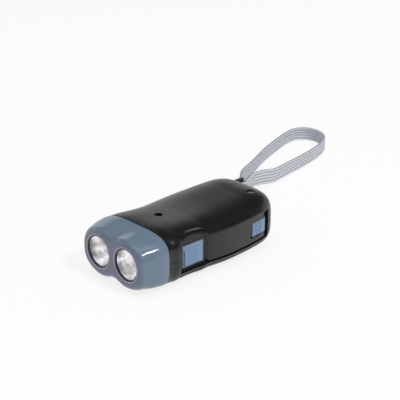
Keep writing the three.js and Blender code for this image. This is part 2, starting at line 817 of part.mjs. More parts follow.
function makeLed(side) {
  const domeSteps = 5;
  const bodyBottom = ledFlange;
  const domeBase = bodyBottom + ledLength - ledRadius;
  const dome = spread(0, Math.PI / 2, domeSteps).map((angle) => [
    ledRadius * Math.cos(angle),
    domeBase + ledRadius * Math.sin(angle),
  ]);
  dome[dome.length - 1][0] = 0;
  const profile = [[0, 0], [ledFlangeRadius, 0], [ledFlangeRadius, bodyBottom], [ledRadius, bodyBottom], ...dome]
    .map(([radius, height]) => new THREE.Vector2(radius, height));
  const geometry = new THREE.LatheGeometry(profile, smallSides + 2);
  geometry.rotateX(Math.PI);
  geometry.translate((side * lampSpacing) / 2, ledRearY, lampHeight);
  return geometry;
}

function makeLedBoard() {
  return block(
    -ledBoardHalfWidth,
    ledBoardHalfWidth,
    ledBoardFrontY,
    ledBoardRearY,
    ledBoardBottomZ,
    ledBoardBottomZ + ledBoardHeight,
  );
}

// The switch

function makeSwitchSlider() {
  const padFaceX = sliderFaceX + thumbPadRise;
  const padFrontY = sliderFrontY + thumbPadFrontInset;
  const padRearY = sliderRearY - thumbPadRearInset;
  const padBottomZ = sliderBottomZ + thumbPadBottomInset;
  const padTopZ = sliderTopZ - thumbPadTopInset;
  const knobHalf = switchKnobWidth / 2 + runningGap;
  const forkX = switchKnobX + switchKnobReach / 2;
  const fork = cut(
    block(
      forkX,
      retainerX,
      switchMiddleY - knobHalf - switchForkWall,
      switchMiddleY + knobHalf + switchForkWall,
      switchMiddleZ - switchKnobHalfHeight,
      switchMiddleZ + switchKnobHalfHeight,
    ),
    block(
      forkX - overrun,
      retainerX - retainerThickness,
      switchMiddleY - knobHalf,
      switchMiddleY + knobHalf,
      switchMiddleZ - overrun,
      switchMiddleZ + overrun,
    ),
  );
  const solid = join(
    block(retainerX - retainerThickness / 2, sliderFaceX, sliderFrontY, sliderRearY, sliderBottomZ, sliderTopZ),
    block(
      retainerX - retainerThickness,
      retainerX,
      sliderFrontY - retainerOverhang,
      sliderRearY + retainerOverhang,
      sliderBottomZ - retainerOverhang,
      sliderTopZ + retainerOverhang,
    ),
    block(sliderFaceX - thumbPadRise, padFaceX, padFrontY, padRearY, padBottomZ, padTopZ),
    fork,
  );
  const grooves = Array.from({ length: thumbGrooves }, (_, i) => {
    const y = padFrontY + thumbGrooveFrontInset + i * thumbGroovePitch;
    return block(
      padFaceX - thumbGrooveDepth,
      padFaceX + overrun,
      y - thumbGrooveWidth / 2,
      y + thumbGrooveWidth / 2,
      padBottomZ + thumbGrooveEndInset,
      padTopZ - thumbGrooveEndInset,
    );
  });
  return cut(solid, ...grooves);
}

function makeSwitchKnob() {
  return block(
    switchKnobX,
    switchKnobX + switchKnobReach - runningGap,
    switchMiddleY - switchKnobWidth / 2,
    switchMiddleY + switchKnobWidth / 2,
    switchMiddleZ - switchKnobHalfHeight,
    switchMiddleZ + switchKnobHalfHeight,
  );
}

function makeSwitchBody() {
  return block(
    switchBodyX - switchBodyDepth,
    switchBodyX,
    switchMiddleY - switchBodyLength / 2,
    switchMiddleY + switchBodyLength / 2,
    switchMiddleZ - switchBodyHeight / 2,
    switchMiddleZ + switchBodyHeight / 2,
  );
}

// Gears: a tooth's flank is an involute, drawn with a few points from root to tip.

const flankSteps = 1;

function gearOutline(teeth, module, firstToothDegrees, shownTeeth = teeth) {
  const pitch = pitchRadius(teeth, module);
  const base = pitch * Math.cos(pressureAngleDegrees * degrees);
  const tip = pitch + module * addendumShare;
  const root = pitch - module * dedendumShare;
  const involute = (radius) => {
    const angle = Math.acos(Math.min(base / radius, 1));
    return Math.tan(angle) - angle;
  };
  const halfTooth = Math.PI / (2 * teeth) - toothThinning / (2 * pitch);
  const halfAngleAt = (radius) => halfTooth + involute(pitch) - involute(Math.max(radius, base));
  const start = Math.max(base, root);
  const flank = spread(start, tip, flankSteps);
  const outline = [];
  for (let tooth = 0; tooth < shownTeeth; tooth += 1) {
    const middle = firstToothDegrees * degrees + (tooth * 2 * Math.PI) / teeth;
    const at = (radius, angle) => outline.push([radius * Math.cos(angle), radius * Math.sin(angle)]);
    if (root < base) at(root, middle - halfAngleAt(base));
    flank.forEach((radius) => at(radius, middle - halfAngleAt(radius)));
    flank
      .slice()
      .reverse()
      .forEach((radius) => at(radius, middle + halfAngleAt(radius)));
    if (root < base) at(root, middle + halfAngleAt(base));
  }
  return outline;
}

const moveOutline = (outline, x, y) => outline.map(([px, py]) => [px + x, py + y]);
const toothPitchDegrees = (teeth) => 360 / teeth;

// Each pinion's tooth gap faces the tooth that drives it.
const firstPinionPhase = sectorMeshDegrees + 180 + toothPitchDegrees(pinionTeeth) / 2;
const firstGearPhase = secondGearDegrees;
const secondPinionPhase = secondGearDegrees + 180 + toothPitchDegrees(pinionTeeth) / 2;
const secondGearPhase = rotorDegrees;
const rotorPinionPhase = rotorDegrees + 180 + toothPitchDegrees(pinionTeeth) / 2;

function makeFirstGear() {
  const pinion = moveOutline(gearOutline(pinionTeeth, firstModule, firstPinionPhase), firstX, firstY);
  const wheel = moveOutline(gearOutline(firstGearTeeth, fineModule, firstGearPhase), firstX, firstY);
  const topZ = firstGearBottomZ + firstGearThickness;
  return cut(
    join(raise(pinion, firstPinionBottomZ, firstGearBottomZ), raise(wheel, firstGearBottomZ, topZ)),
    rodZ(firstX, firstY, axleHoleRadius, firstPinionBottomZ - overrun, topZ + overrun, smallSides),
  );
}

function makeSecondGear() {
  const pinion = moveOutline(gearOutline(pinionTeeth, fineModule, secondPinionPhase), secondX, secondY);
  const wheel = moveOutline(gearOutline(secondGearTeeth, fineModule, secondGearPhase), secondX, secondY);
  const topZ = secondGearBottomZ + secondGearThickness;
  return cut(
    join(raise(pinion, secondPinionBottomZ, secondGearBottomZ), raise(wheel, secondGearBottomZ, topZ)),
    rodZ(secondX, secondY, axleHoleRadius, secondPinionBottomZ - overrun, topZ + overrun, smallSides),
  );
}

const makeAxle = (x, y, lowerBossZ, upperBossZ) =>
  rodZ(
    x,
    y,
    axleRadius,
    lowerBossZ - axleSocketDepth + runningGap,
    upperBossZ + axleSocketDepth - runningGap,
    smallSides,
  );

function makeRotorShaft() {
  const pinion = moveOutline(gearOutline(pinionTeeth, fineModule, rotorPinionPhase), rotorX, rotorY);
  return join(
    rodZ(
      rotorX,
      rotorY,
      axleRadius,
      wall / 2 + runningGap,
      rotorUpperBossZ + axleSocketDepth - runningGap,
      smallSides,
    ),
    raise(pinion, rotorPinionBottomZ, rotorPinionBottomZ + rotorPinionThickness),
  );
}

function makeFlywheel() {
  const topZ = flywheelBottomZ + flywheelThickness;
  return cut(
    rodZ(rotorX, rotorY, flywheelRadius, flywheelBottomZ, topZ),
    rodZ(rotorX, rotorY, axleHoleRadius, flywheelBottomZ - overrun, topZ + overrun, smallSides),
  );
}

function makeMagnet() {
  const topZ = magnetBottomZ + magnetHeight;
  return cut(
    rodZ(rotorX, rotorY, magnetRadius, magnetBottomZ, topZ),
    rodZ(rotorX, rotorY, axleHoleRadius, magnetBottomZ - overrun, topZ + overrun, smallSides),
  );
}

const statorTopZ = statorBottomZ + statorThickness;
const statorLegX = rotorX + statorBackX;

function makeStatorCore() {
  const inLegX = statorLegX + statorLegWidth;
  const poleX = rotorX + statorPoleX;
  const armInner = statorHalfWidth - statorArmWidth;
  return cut(
    block(statorLegX, rotorX + statorReachX, rotorY - statorHalfWidth, rotorY + statorHalfWidth, statorBottomZ, statorTopZ),
    block(inLegX, poleX, rotorY - armInner, rotorY + armInner, statorBottomZ - overrun, statorTopZ + overrun),
    block(
      poleX - overrun / 2,
      rotorX + statorReachX + overrun,
      rotorY - statorPoleHalfGap,
      rotorY + statorPoleHalfGap,
      statorBottomZ - overrun,
      statorTopZ + overrun,
    ).intersect(block(inLegX, bodyHalfWidth, -bodyLength, bodyLength, floorZ, roofZ)),
    rodZ(rotorX, rotorY, magnetRadius + poleGap, statorBottomZ - overrun, statorTopZ + overrun),
  );
}

function makeStatorCoil() {
  const gap = runningGap;
  return cut(
    block(
      statorLegX - coilWinding,
      statorLegX + statorLegWidth + coilWinding,
      rotorY - coilHalfLength,
      rotorY + coilHalfLength,
      statorBottomZ - coilWinding,
      statorTopZ + coilWinding,
    ),
    block(
      statorLegX - gap,
      statorLegX + statorLegWidth + gap,
      rotorY - bodyLength,
      rotorY + bodyLength,
      statorBottomZ - gap,
      statorTopZ + gap,
    ),
  );
}

// The squeeze lever

const leverFaceX = (y) => halfWidthAt(y) - leverInset;
const leverArc = (radius, fromDegrees, toDegrees, count) =>
  spread(fromDegrees, toDegrees, count).map((angle) => fromPlace(leverPivotX, leverPivotY, radius, angle));
const faceSteps = 10;
const noseBlendY = leverPivotY + leverNoseRadius;

// Where the lever's end arc meets an inset copy of its face.
function endOnFace(inset) {
  let y = leverPivotY + leverReach;
  for (let i = 0; i < faceSteps; i += 1) {
    const x = leverFaceX(y) - inset - leverPivotX;
    y = leverPivotY + Math.sqrt(leverReach ** 2 - x ** 2);
  }
  return y;
}

function leverOutline() {
  const nose = leverArc(leverNoseRadius, 180, 360, faceSteps);
  const faceEndY = endOnFace(0);
  const face = spread(noseBlendY, faceEndY, faceSteps).map((y) => [leverFaceX(y), y]);
  const endY = (x) => leverPivotY + Math.sqrt(leverReach ** 2 - (x - leverPivotX) ** 2);
  const end = spread(leverFaceX(faceEndY), leverFlangeEndX, 4).slice(1).map((x) => [x, endY(x)]);
  return [...nose, ...face, ...end, [leverFlangeInnerX, leverFlangeCornerY]];
}

function leverHollow() {
  const farX = leverPivotX - leverReach;
  const reach = leverReach - leverEndWall;
  const faceEndY = endOnFace(leverSkin);
  const face = spread(noseBlendY, faceEndY, faceSteps).map((y) => [leverFaceX(y) - leverSkin, y]);
  const outline = [[farX, noseBlendY], ...face, [farX, faceEndY]];
  const bottomZ = leverBottomZ + leverFlange;
  const topZ = leverTopZ - leverFlange;
  const disc = rodZ(leverPivotX, leverPivotY, reach, bottomZ, topZ, arcSides);
  return raise(outline, bottomZ, topZ).intersect(disc);
}

const lockFaceX = (y) => leverFaceX(y) + lockProud;
const skinInnerX = leverFaceX(lockRearY) - leverSkin;
const springMiddleZ = leverTopZ - leverFlange - springTurns * springPitch - springWire - runningGap;

function makeLever() {
  const body = cut(raise(leverOutline(), leverBottomZ, leverTopZ), leverHollow());
  const sectorOutline = gearOutline(
    sectorWholeTeeth,
    firstModule,
    sectorMeshDegrees - toothPitchDegrees(sectorWholeTeeth),
    sectorTeeth,
  );
  const sector = raise(
    moveOutline([[0, 0], ...sectorOutline], leverPivotX, leverPivotY),
    sectorBottomZ,
    sectorBottomZ + sectorThickness,
  );
  const pinHole = rodZ(
    leverPivotX,
    leverPivotY,
    leverPinRadius + axleClearance,
    leverBottomZ - overrun,
    leverTopZ + overrun,
  );
  const notchBottomZ = springMiddleZ - springWire;
  const notchTopZ = springMiddleZ + springTurns * springPitch + springWire;
  const springNotch = join(
    rodZ(leverPivotX, leverPivotY, springNotchRadius, notchBottomZ, notchTopZ),
    block(
      leverPivotX - leverReach,
      leverPivotX,
      leverPivotY - springNotchRadius,
      leverPivotY + springNotchRadius,
      notchBottomZ,
      notchTopZ,
    ),
    block(
      leverPivotX,
      leverPivotX + springNotchRadius - springWire,
      leverPivotY,
      noseBlendY + wall,
      notchBottomZ,
      notchTopZ,
    ),
  );
  const lockWindow = block(
    skinInnerX - leverSkin / 2,
    bodyHalfWidth + overrun,
    lockFrontY - lockTravel - runningGap,
    lockRearY + runningGap,
    lockBottomZ - runningGap,
    lockTopZ + runningGap,
  );
  return cut(join(body, sector), pinHole, springNotch, lockWindow);
}

function makeLeverPin() {
  return rodZ(
    leverPivotX,
    leverPivotY,
    leverPinRadius,
    leverLowerBossZ - axleSocketDepth + runningGap,
    leverUpperBossZ + axleSocketDepth - runningGap,
    smallSides + 2,
  );
}

// A torsion spring round the pin: one leg rests inside the lever's skin, one points into the body.
function makeReturnSpring() {
  const stepsPerTurn = 10;
  const count = springTurns * stepsPerTurn;
  const coil = Array.from({ length: count + 1 }, (_, i) => {
    const angle = -90 - (i / stepsPerTurn) * 360 - (i / count) * springExtraDegrees;
    const [x, y] = fromPlace(leverPivotX, leverPivotY, springCoilRadius, angle);
    return [x, y, springMiddleZ + (i / stepsPerTurn) * springPitch];
  });
  const first = coil[0];
  const last = coil[coil.length - 1];
  const innerLeg = [1, 0.5].map((share) => [first[0] - springInnerLeg * share, first[1], first[2]]);
  const outerLeg = [0.5, 1].map((share) => [last[0], last[1] + springOuterLeg * share, last[2]]);
  return tubeGeometry([...innerLeg, ...coil, ...outerLeg], springWire / 2, count * 2, 5);
}

function makeLockSlider() {
  const faceFrontX = lockFaceX(lockFrontY);
  const faceRearX = lockFaceX(lockRearY);
  const plateX = skinInnerX - runningGap;
  const pad = raise(
    [
      [plateX - lockPlate / 2, lockFrontY],
      [faceFrontX - lockStep, lockFrontY],
      [lockFaceX(lockStepY) - lockStep, lockStepY],
      [lockFaceX(lockStepY), lockStepY],
      [faceRearX, lockRearY],
      [plateX - lockPlate / 2, lockRearY],
    ],
    lockBottomZ,
    lockTopZ,
  );
  const plate = block(
    plateX - lockPlate,
    plateX,
    lockFrontY - lockPlateOverhang,
    lockRearY,
    leverBottomZ + leverFlange + runningGap,
    leverTopZ - leverFlange - runningGap,
  );
  const arm = join(
    block(
      lockToeX,
      plateX - lockPlate / 2,
      lockArmY,
      lockArmY + lockArmWidth,
      catchZ - lockArmHalfHeight,
      catchZ + lockArmHalfHeight,
    ),
    block(
      lockToeX,
      lockToeX + lockToeThickness,
      toeFrontY,
      lockArmY + lockArmWidth,
      catchZ - lockArmHalfHeight,
      catchZ + lockArmHalfHeight,
    ),
  );
  const ribs = Array.from({ length: lockRibs }, (_, i) => {
    const y = lockFrontY + lockRibPitch * (i + 1);
    const faceX = lockFaceX(y) - lockStep;
    return block(
      faceX - lockRibDepth,
      faceX + overrun,
      y - lockRibWidth / 2,
      y + lockRibWidth / 2,
      lockBottomZ + lockRibWidth,
      lockTopZ - lockRibWidth,
    );
  });
  return cut(join(pad, plate, arm), ...ribs);
}

// Battery, boards and wires

function makeCell(index) {
  const z = cellBottomZ + index * (cellHeight + runningGap);
  const canTop = z + cellHeight - cellButtonHeight;
  return join(
    rodZ(cellX, cellY, cellRadius, z, canTop),
    rodZ(cellX, cellY, cellButtonRadius, canTop, z + cellHeight, smallSides * 2),
  );
}

function makeRectifierBoard() {
  const board = block(
    rectifierX - rectifierHalfLength,
    rectifierX + rectifierHalfLength,
    rectifierY - rectifierHalfWidth,
    rectifierY + rectifierHalfWidth,
    rectifierBottomZ,
    rectifierTopZ,
  );
  const diodes = spread(-diodePitch / 2, diodePitch / 2, 1).flatMap((dx) =>
    spread(-diodePitch / 2, diodePitch / 2, 1).map((dy) =>
      block(
        rectifierX - diodePitch + dx - diodeHalfWidth,
        rectifierX - diodePitch + dx + diodeHalfWidth,
        rectifierY + dy - diodeHalfWidth,
        rectifierY + dy + diodeHalfWidth,
        rectifierTopZ,
        rectifierTopZ + diodeHeight,
      ),
    ),
  );
  return join(board, ...diodes);
}

const capacitorX = rectifierX + rectifierHalfLength - capacitorInset;

function makeCapacitor() {
  const bottomZ = rectifierTopZ + runningGap;
  return rodZ(capacitorX, rectifierY, capacitorRadius, bottomZ, bottomZ + capacitorHeight, smallSides + 4);
}

const wireSides = 6;
const wireSteps = 18;
const wireLift = wireRadius + runningGap;
const boardRimZ = rectifierTopZ + wireLift;
const leftWallX = 2 * wall - bodyHalfWidth + wireRadius;

const wireRoutes = {
  coil_wire: [
    [statorLegX, rotorY - coilHalfLength + 2 * wireLift, statorTopZ + coilWinding + coilWireLift],
    [statorLegX - wireLift, rotorY - coilHalfLength - 2 * wireLift, statorTopZ + coilWinding],
    [leftWallX + wireLift, secondY, statorTopZ],
    [leftWallX, firstY, statorBottomZ + wireLift],
    [leftWallX + wireLift, rectifierY + rectifierHalfWidth + wireLift, boardRimZ + wireLift],
    [rectifierX - rectifierHalfLength + wireLift, rectifierY + rectifierHalfWidth - wireLift, boardRimZ],
  ],
  battery_wire: [
    [cellX, cellY + cellButtonRadius / 2, cellTopZ + wireRadius],
    [cellX, cellY + cellRadius, cellTopZ],
    [cellX, cellY + cellRadius + cellCradleWall + 3 * wireLift, splitHeight],
    [rectifierX + wireLift, rectifierY - rectifierHalfWidth - wireLift, boardRimZ + 2 * wireLift],
    [rectifierX + wireLift, rectifierY - rectifierHalfWidth + wall, boardRimZ],
  ],
  lamp_wire: [
    [rectifierX + rectifierHalfLength - wireLift, rectifierY - rectifierHalfWidth + wireLift, boardRimZ],
    [frontScrewX + screwBossRadius + wireLift, rectifierY - rectifierHalfWidth - wireLift, boardRimZ + wireLift],
    [frontScrewX + screwBossRadius + 3 * wireLift, frontScrewY, boardRimZ + wireLift],
    [frontScrewX + screwBossRadius + 3 * wireLift, cellY - wall, boardRimZ + wall],
    [lampSpacing / 8, ledBoardRearY + wireLift, ledBoardBottomZ + ledBoardHeight / 4],
  ],
  switch_wire: [
    [switchBodyX - switchBodyDepth - wireLift, switchMiddleY, switchMiddleZ],
    [switchBodyX - switchBodyDepth - 3 * wireLift, switchMiddleY - wall * 2, switchMiddleZ],
    [lampSpacing / 2, cellY - wall * 2, switchMiddleZ],
    [lampSpacing / 2 - wall, ledBoardRearY + wireLift, switchMiddleZ + wall],
  ],
};

// The wrist strap: a flat woven band on its edge, folded round the lug's upright bar, that sinks to the table.
// Route points in millimetres in this frame: out from the lug's bar, round the loop and back.
const strapRoute = [
  [-10.6, 58.9, 22],
  [-12.1, 62.2, 22],
  [-14.3, 66.7, 21.8],
  [-16.6, 71.2, 21.2],
  [-19, 76.8, 19.7],
  [-22.2, 83.2, 17.6],
  [-26, 90.6, 14.9],
  [-30.9, 99.4, 11.4],
  [-35.8, 108.2, 7.9],
  [-40, 117.6, 5.5],
  [-42.3, 125.4, 4.7],
  [-43.6, 132.5, 4.7],
  [-45.8, 146.5, 4.7],
  [-48.8, 160.5, 4.7],
  [-53, 173.6, 4.7],
  [-59.6, 184.4, 4.7],
  [-68.6, 189.6, 4.7],
  [-77.6, 189.2, 4.7],
  [-83.2, 183, 4.7],
  [-83, 173.4, 4.7],
  [-79.4, 161.5, 4.7],
  [-75.2, 149.5, 4.7],
  [-70.5, 137.5, 4.7],
  [-64.6, 125, 4.8],
  [-57.4, 111.4, 5.8],
  [-49.3, 98, 8.4],
  [-40, 86.2, 12.4],
  [-30.6, 75.6, 16.6],
  [-22, 66.2, 20],
  [-17, 60.9, 21.6],
  [-13.8, 57.4, 22],
];

// The rings stand closer together near the lug, by this share at each end of the band.
const strapGatherShare = 0.6;

function makeStrap() {
  const curve = new THREE.CatmullRomCurve3(strapRoute.map((p) => new THREE.Vector3(...p)));
  const corner = strapThickness * strapCornerShare;
  const halfWidth = strapWidth / 2;
  const halfThickness = strapThickness / 2;
  const section = [
    [halfWidth, -halfThickness + corner],
    [halfWidth, halfThickness - corner],
    [halfWidth - corner, halfThickness],
    [corner - halfWidth, halfThickness],
    [-halfWidth, halfThickness - corner],
    [-halfWidth, corner - halfThickness],
    [corner - halfWidth, -halfThickness],
    [halfWidth - corner, -halfThickness],
  ];
  const rings = spread(0, 1, strapRings).map((step) => {
    const share = step - (strapGatherShare * Math.sin(2 * Math.PI * step)) / (2 * Math.PI);
    const centre = curve.getPointAt(share);
    const along = curve.getTangentAt(share);
    const across = new THREE.Vector3(0, 0, -1);
    across.addScaledVector(along, -across.dot(along)).normalize();
    const face = new THREE.Vector3().crossVectors(across, along);
    return section.map(([u, v]) => centre.clone().addScaledVector(across, u).addScaledVector(face, v));
  });
  return loftGeometry(rings);
}

function makeStrapFold() {
  const innerRadius = lugBarRadius + runningGap;
  const outerRadius = innerRadius + strapThickness;
  const foldSteps = 18;
  const turns = spread(strapFoldDegrees, 360 - strapFoldDegrees, foldSteps);
  const angles = turns.map((turn) => (turn - strapLeanDegrees) * degrees);
  const arc = (radius) => angles.map((angle) => [lugX + radius * Math.sin(angle), lugBarY + radius * Math.cos(angle)]);
  const outline = [...arc(innerRadius), ...arc(outerRadius).reverse()];
  return raise(outline, lugMiddleZ - strapWidth / 2, lugMiddleZ + strapWidth / 2);
}

// Materials

const finish = (color, roughness, metalness = 0, more = {}) =>
  new THREE.MeshStandardMaterial({ color, roughness, metalness, ...more });
const finishes = {
  blackPlastic: finish("#2b2c2e", 0.35),
  greyPlastic: finish("#3c3d40", 0.45),
  headPlastic: finish("#7f8fa0", 0.25),
  buttonPlastic: finish("#8fa6c0", 0.4),
  clear: finish("#f2f5fa", 0.05, 0, { transparent: true, opacity: 0.35 }),
  chrome: finish("#e6e8ec", 0.1, 1),
  led: finish("#f4f6ff", 0.15),
  steel: finish("#a9adb3", 0.3, 1),
  spring: finish("#c4c7cb", 0.3, 1),
  gearPlastic: finish("#e8e4d8", 0.5),
  magnet: finish("#4c4c50", 0.5, 0.6),
  core: finish("#7d7f84", 0.45, 0.9),
  copper: finish("#b0673a", 0.35, 0.9),
  cell: finish("#c9ccd2", 0.25, 1),
  board: finish("#2f6b45", 0.5),
  part: finish("#20222a", 0.4),
  redWire: finish("#a8322c", 0.5),
  blueWire: finish("#2d4f96", 0.5),
  strap: finish("#cfcfd6", 0.85),
};

// The assembly

const torch = new THREE.Group();
torch.name = "squeeze_torch";
torch.position.y = frameShiftY;

function place(name, shape, material) {
  const geometry = shape.isBufferGeometry ? shape : geometryOf(shape);
  const mesh = new THREE.Mesh(geometry, material);
  mesh.name = name;
  torch.add(mesh);
}

place("upper_housing", makeUpperHousing(), finishes.blackPlastic);
place("lower_housing", makeLowerHousing(), finishes.blackPlastic);
place("lamp_head", makeHead(), finishes.headPlastic);
lampSides.forEach((side) => {
  place(`lens_${lampNames[side]}`, makeLens(side), finishes.clear);
  place(`reflector_${lampNames[side]}`, makeReflector(side), finishes.chrome);
  place(`led_${lampNames[side]}`, makeLed(side), finishes.led);
});
place("led_board", makeLedBoard(), finishes.board);
place("switch_slider", makeSwitchSlider(), finishes.buttonPlastic);
place("switch_knob", makeSwitchKnob(), finishes.part);
place("switch_body", makeSwitchBody(), finishes.steel);
place("squeeze_lever", makeLever(), finishes.greyPlastic);
place("lever_pin", makeLeverPin(), finishes.steel);
place("return_spring", makeReturnSpring(), finishes.spring);
place("lock_slider", makeLockSlider(), finishes.buttonPlastic);
place("first_gear", makeFirstGear(), finishes.gearPlastic);
place("first_gear_axle", makeAxle(firstX, firstY, firstLowerBossZ, firstUpperBossZ), finishes.steel);
place("second_gear", makeSecondGear(), finishes.gearPlastic);
place("second_gear_axle", makeAxle(secondX, secondY, secondLowerBossZ, secondUpperBossZ), finishes.steel);
place("rotor_shaft", makeRotorShaft(), finishes.steel);
place("flywheel", makeFlywheel(), finishes.steel);
place("ring_magnet", makeMagnet(), finishes.magnet);
place("stator_core", makeStatorCore(), finishes.core);
place("stator_coil", makeStatorCoil(), finishes.copper);
Array.from({ length: cellCount }, (_, i) => place(`button_cell_${i + 1}`, makeCell(i), finishes.cell));
place("rectifier_board", makeRectifierBoard(), finishes.board);
place("capacitor", makeCapacitor(), finishes.part);
Object.entries(wireRoutes).forEach(([name, route], i) => {
  const material = i % 2 ? finishes.redWire : finishes.blueWire;
  place(name, tubeGeometry(route, wireRadius, wireSteps, wireSides), material);
});
screws.forEach((screw) => place(screw.name, makeScrew(screw), finishes.steel));
place("strap_fold", makeStrapFold(), finishes.strap);
place("wrist_strap", makeStrap(), finishes.strap);

export default torch;
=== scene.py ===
# %% [markdown]
# A squeeze torch in Blender, dressed over its CAD frame. The CAD says where each part is and how it
# moves. This script models the surfaces that show, in finer meshes, and gives them their finishes.

import json
import math

import bpy
import numpy as np
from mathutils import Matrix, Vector

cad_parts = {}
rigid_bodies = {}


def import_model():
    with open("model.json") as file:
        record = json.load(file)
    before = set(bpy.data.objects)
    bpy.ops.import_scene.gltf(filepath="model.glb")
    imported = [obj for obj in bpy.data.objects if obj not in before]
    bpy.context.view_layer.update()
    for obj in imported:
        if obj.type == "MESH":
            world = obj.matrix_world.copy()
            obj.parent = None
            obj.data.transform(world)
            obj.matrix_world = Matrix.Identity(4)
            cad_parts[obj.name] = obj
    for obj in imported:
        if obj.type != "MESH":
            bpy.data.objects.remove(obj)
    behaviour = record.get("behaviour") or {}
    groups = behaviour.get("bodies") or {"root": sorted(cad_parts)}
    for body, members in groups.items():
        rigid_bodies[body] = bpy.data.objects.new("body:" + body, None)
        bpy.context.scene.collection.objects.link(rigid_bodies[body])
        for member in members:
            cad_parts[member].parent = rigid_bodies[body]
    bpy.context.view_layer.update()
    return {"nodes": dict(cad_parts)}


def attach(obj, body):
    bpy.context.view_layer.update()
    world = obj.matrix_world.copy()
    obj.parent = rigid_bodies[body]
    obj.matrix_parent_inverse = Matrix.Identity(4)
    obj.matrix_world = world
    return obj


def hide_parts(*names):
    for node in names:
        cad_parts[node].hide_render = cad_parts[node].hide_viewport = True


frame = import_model()

# %% [markdown]
# The torch's own sizes are in millimetres, counted from the middle of its body, while the frame is in metres
# and centred on body and lug together. One helper turns the first into the second. The others hold a piece
# for an operator and open and close edit mode. A new piece could keep its place and size beside its mesh, but
# here both go into the mesh.

# %% Units and handling
MM = 0.001
FRAME_SHIFT = -2.65
TINY_MERGE = 0.002 * MM


def point(x, y, z):
    """A place given in the torch's millimetres, as a point of the frame."""
    return Vector((x, y + FRAME_SHIFT, z)) * MM


def hold(*pieces):
    """Selects these pieces alone and makes the first one active."""
    bpy.ops.object.select_all(action="DESELECT")
    for piece in pieces:
        piece.select_set(True)
    bpy.context.view_layer.objects.active = pieces[0]


def edit_all(piece, action="SELECT"):
    """Opens edit mode with all of a piece picked, or with nothing of it."""
    hold(piece)
    bpy.ops.object.mode_set(mode="EDIT")
    bpy.ops.mesh.select_all(action=action)


def leave_edit():
    """Goes back to object mode."""
    bpy.ops.object.mode_set(mode="OBJECT")


def settle(piece):
    """Puts the piece's place, turn and size into its mesh, so that its object sits at the origin."""
    hold(piece)
    bpy.ops.object.transform_apply(location=True, rotation=True, scale=True)
    return piece


print("One millimetre is", MM, "m, and the middle of the body lies", FRAME_SHIFT, "mm along the frame")

# %% [markdown]
# These are the moves that a modeller makes by hand all the time: picking faces or edges by their
# place, cutting, rounding and shading. Modifiers could stay on a piece, but each one here is applied
# at once, so that the next move sees its result.

# %% Picking, cutting and shading
def pick(piece, kind, wanted):
    """Opens edit mode with the wanted faces or vertices, by place and normal, or edges, by middle and run."""
    edit_all(piece, "DESELECT")
    bpy.ops.mesh.select_mode(type=kind)
    leave_edit()
    mesh = piece.data
    corners = mesh.vertices
    if kind == "FACE":
        for face in mesh.polygons:
            face.select = wanted(face.center, face.normal)
    elif kind == "EDGE":
        for edge in mesh.edges:
            start, end = (corners[index].co for index in edge.vertices)
            edge.select = wanted((start + end) / 2, end - start)
    else:
        for corner in corners:
            corner.select = wanted(corner.co, corner.normal)
    bpy.ops.object.mode_set(mode="EDIT")


def finish_with(piece, kind, **settings):
    """Adds a modifier with these settings and applies it at once."""
    hold(piece)
    modifier = piece.modifiers.new(kind.lower(), kind)
    for setting, value in settings.items():
        setattr(modifier, setting, value)
    bpy.ops.object.modifier_apply(modifier=modifier.name)
    return piece


def cut_with(piece, cutter, operation="DIFFERENCE"):
    """Cuts a piece with another one, which is used up."""
    finish_with(piece, "BOOLEAN", operation=operation, object=cutter, solver="EXACT")
    bpy.data.objects.remove(cutter)
    return piece


def smooth_by_angle(piece, degrees=30):
    """Shades a piece smooth, apart from edges that are sharper than an angle."""
    hold(piece)
    bpy.ops.object.shade_smooth_by_angle(angle=math.radians(degrees))
    return piece


def tidy_mesh(piece, distance=TINY_MERGE):
    """Merges doubled vertices and turns all faces outwards."""
    edit_all(piece)
    bpy.ops.mesh.remove_doubles(threshold=distance)
    bpy.ops.mesh.normals_make_consistent(inside=False)
    leave_edit()
    return piece


print("Doubled points closer than", round(TINY_MERGE / MM, 4), "mm are merged")

# %% [markdown]
# The picture was taken from the front right and a little above, with the torch lying on a white
# table. The camera repeats that view: the same direction, distance and focal length, with a small
# shift because the torch isn't quite in the middle of the picture.

# %% The camera
VIEW_AZIMUTH = math.radians(47.301)
VIEW_ELEVATION = math.radians(24.612)
VIEW_DISTANCE = 0.650873
VIEW_TARGET = point(0, 0, 15)
FOCAL_LENGTH = 106.9
FILM_WIDTH = 36
FILM_SHIFT = (0.0399, 0.0790)


def way_from(azimuth, elevation):
    """A direction. Its azimuth turns from the torch's front to its switch side."""
    level = math.cos(elevation)
    return Vector((math.sin(azimuth) * level, -math.cos(azimuth) * level, math.sin(elevation)))


bpy.ops.object.camera_add()
camera = bpy.context.active_object
camera.name = "camera"
towards_camera = way_from(VIEW_AZIMUTH, VIEW_ELEVATION)
camera.location = VIEW_TARGET + towards_camera * VIEW_DISTANCE
camera.rotation_euler = towards_camera.to_track_quat("Z", "Y").to_euler()
camera.data.lens = FOCAL_LENGTH
camera.data.sensor_width = FILM_WIDTH
camera.data.shift_x, camera.data.shift_y = FILM_SHIFT
bpy.context.scene.camera = camera
print("Camera at", [round(value, 4) for value in camera.location])

# %% [markdown]
# A few smooth curves shape most of this torch. A curve of Blender's own could run through the
# strap's points, but its handles would have to be set by hand. This one sets its slopes from the
# points next to it, and its spacing keeps it from looping where two points are close.

# %% Smooth curves
LEAST_SPACING = 1e-4


def smooth_step(low, high, value):
    """0 below a low value, 1 above a high one and smooth in between."""
    share = np.clip((value - low) / (high - low), 0, 1)
    return share * share * (3 - 2 * share)


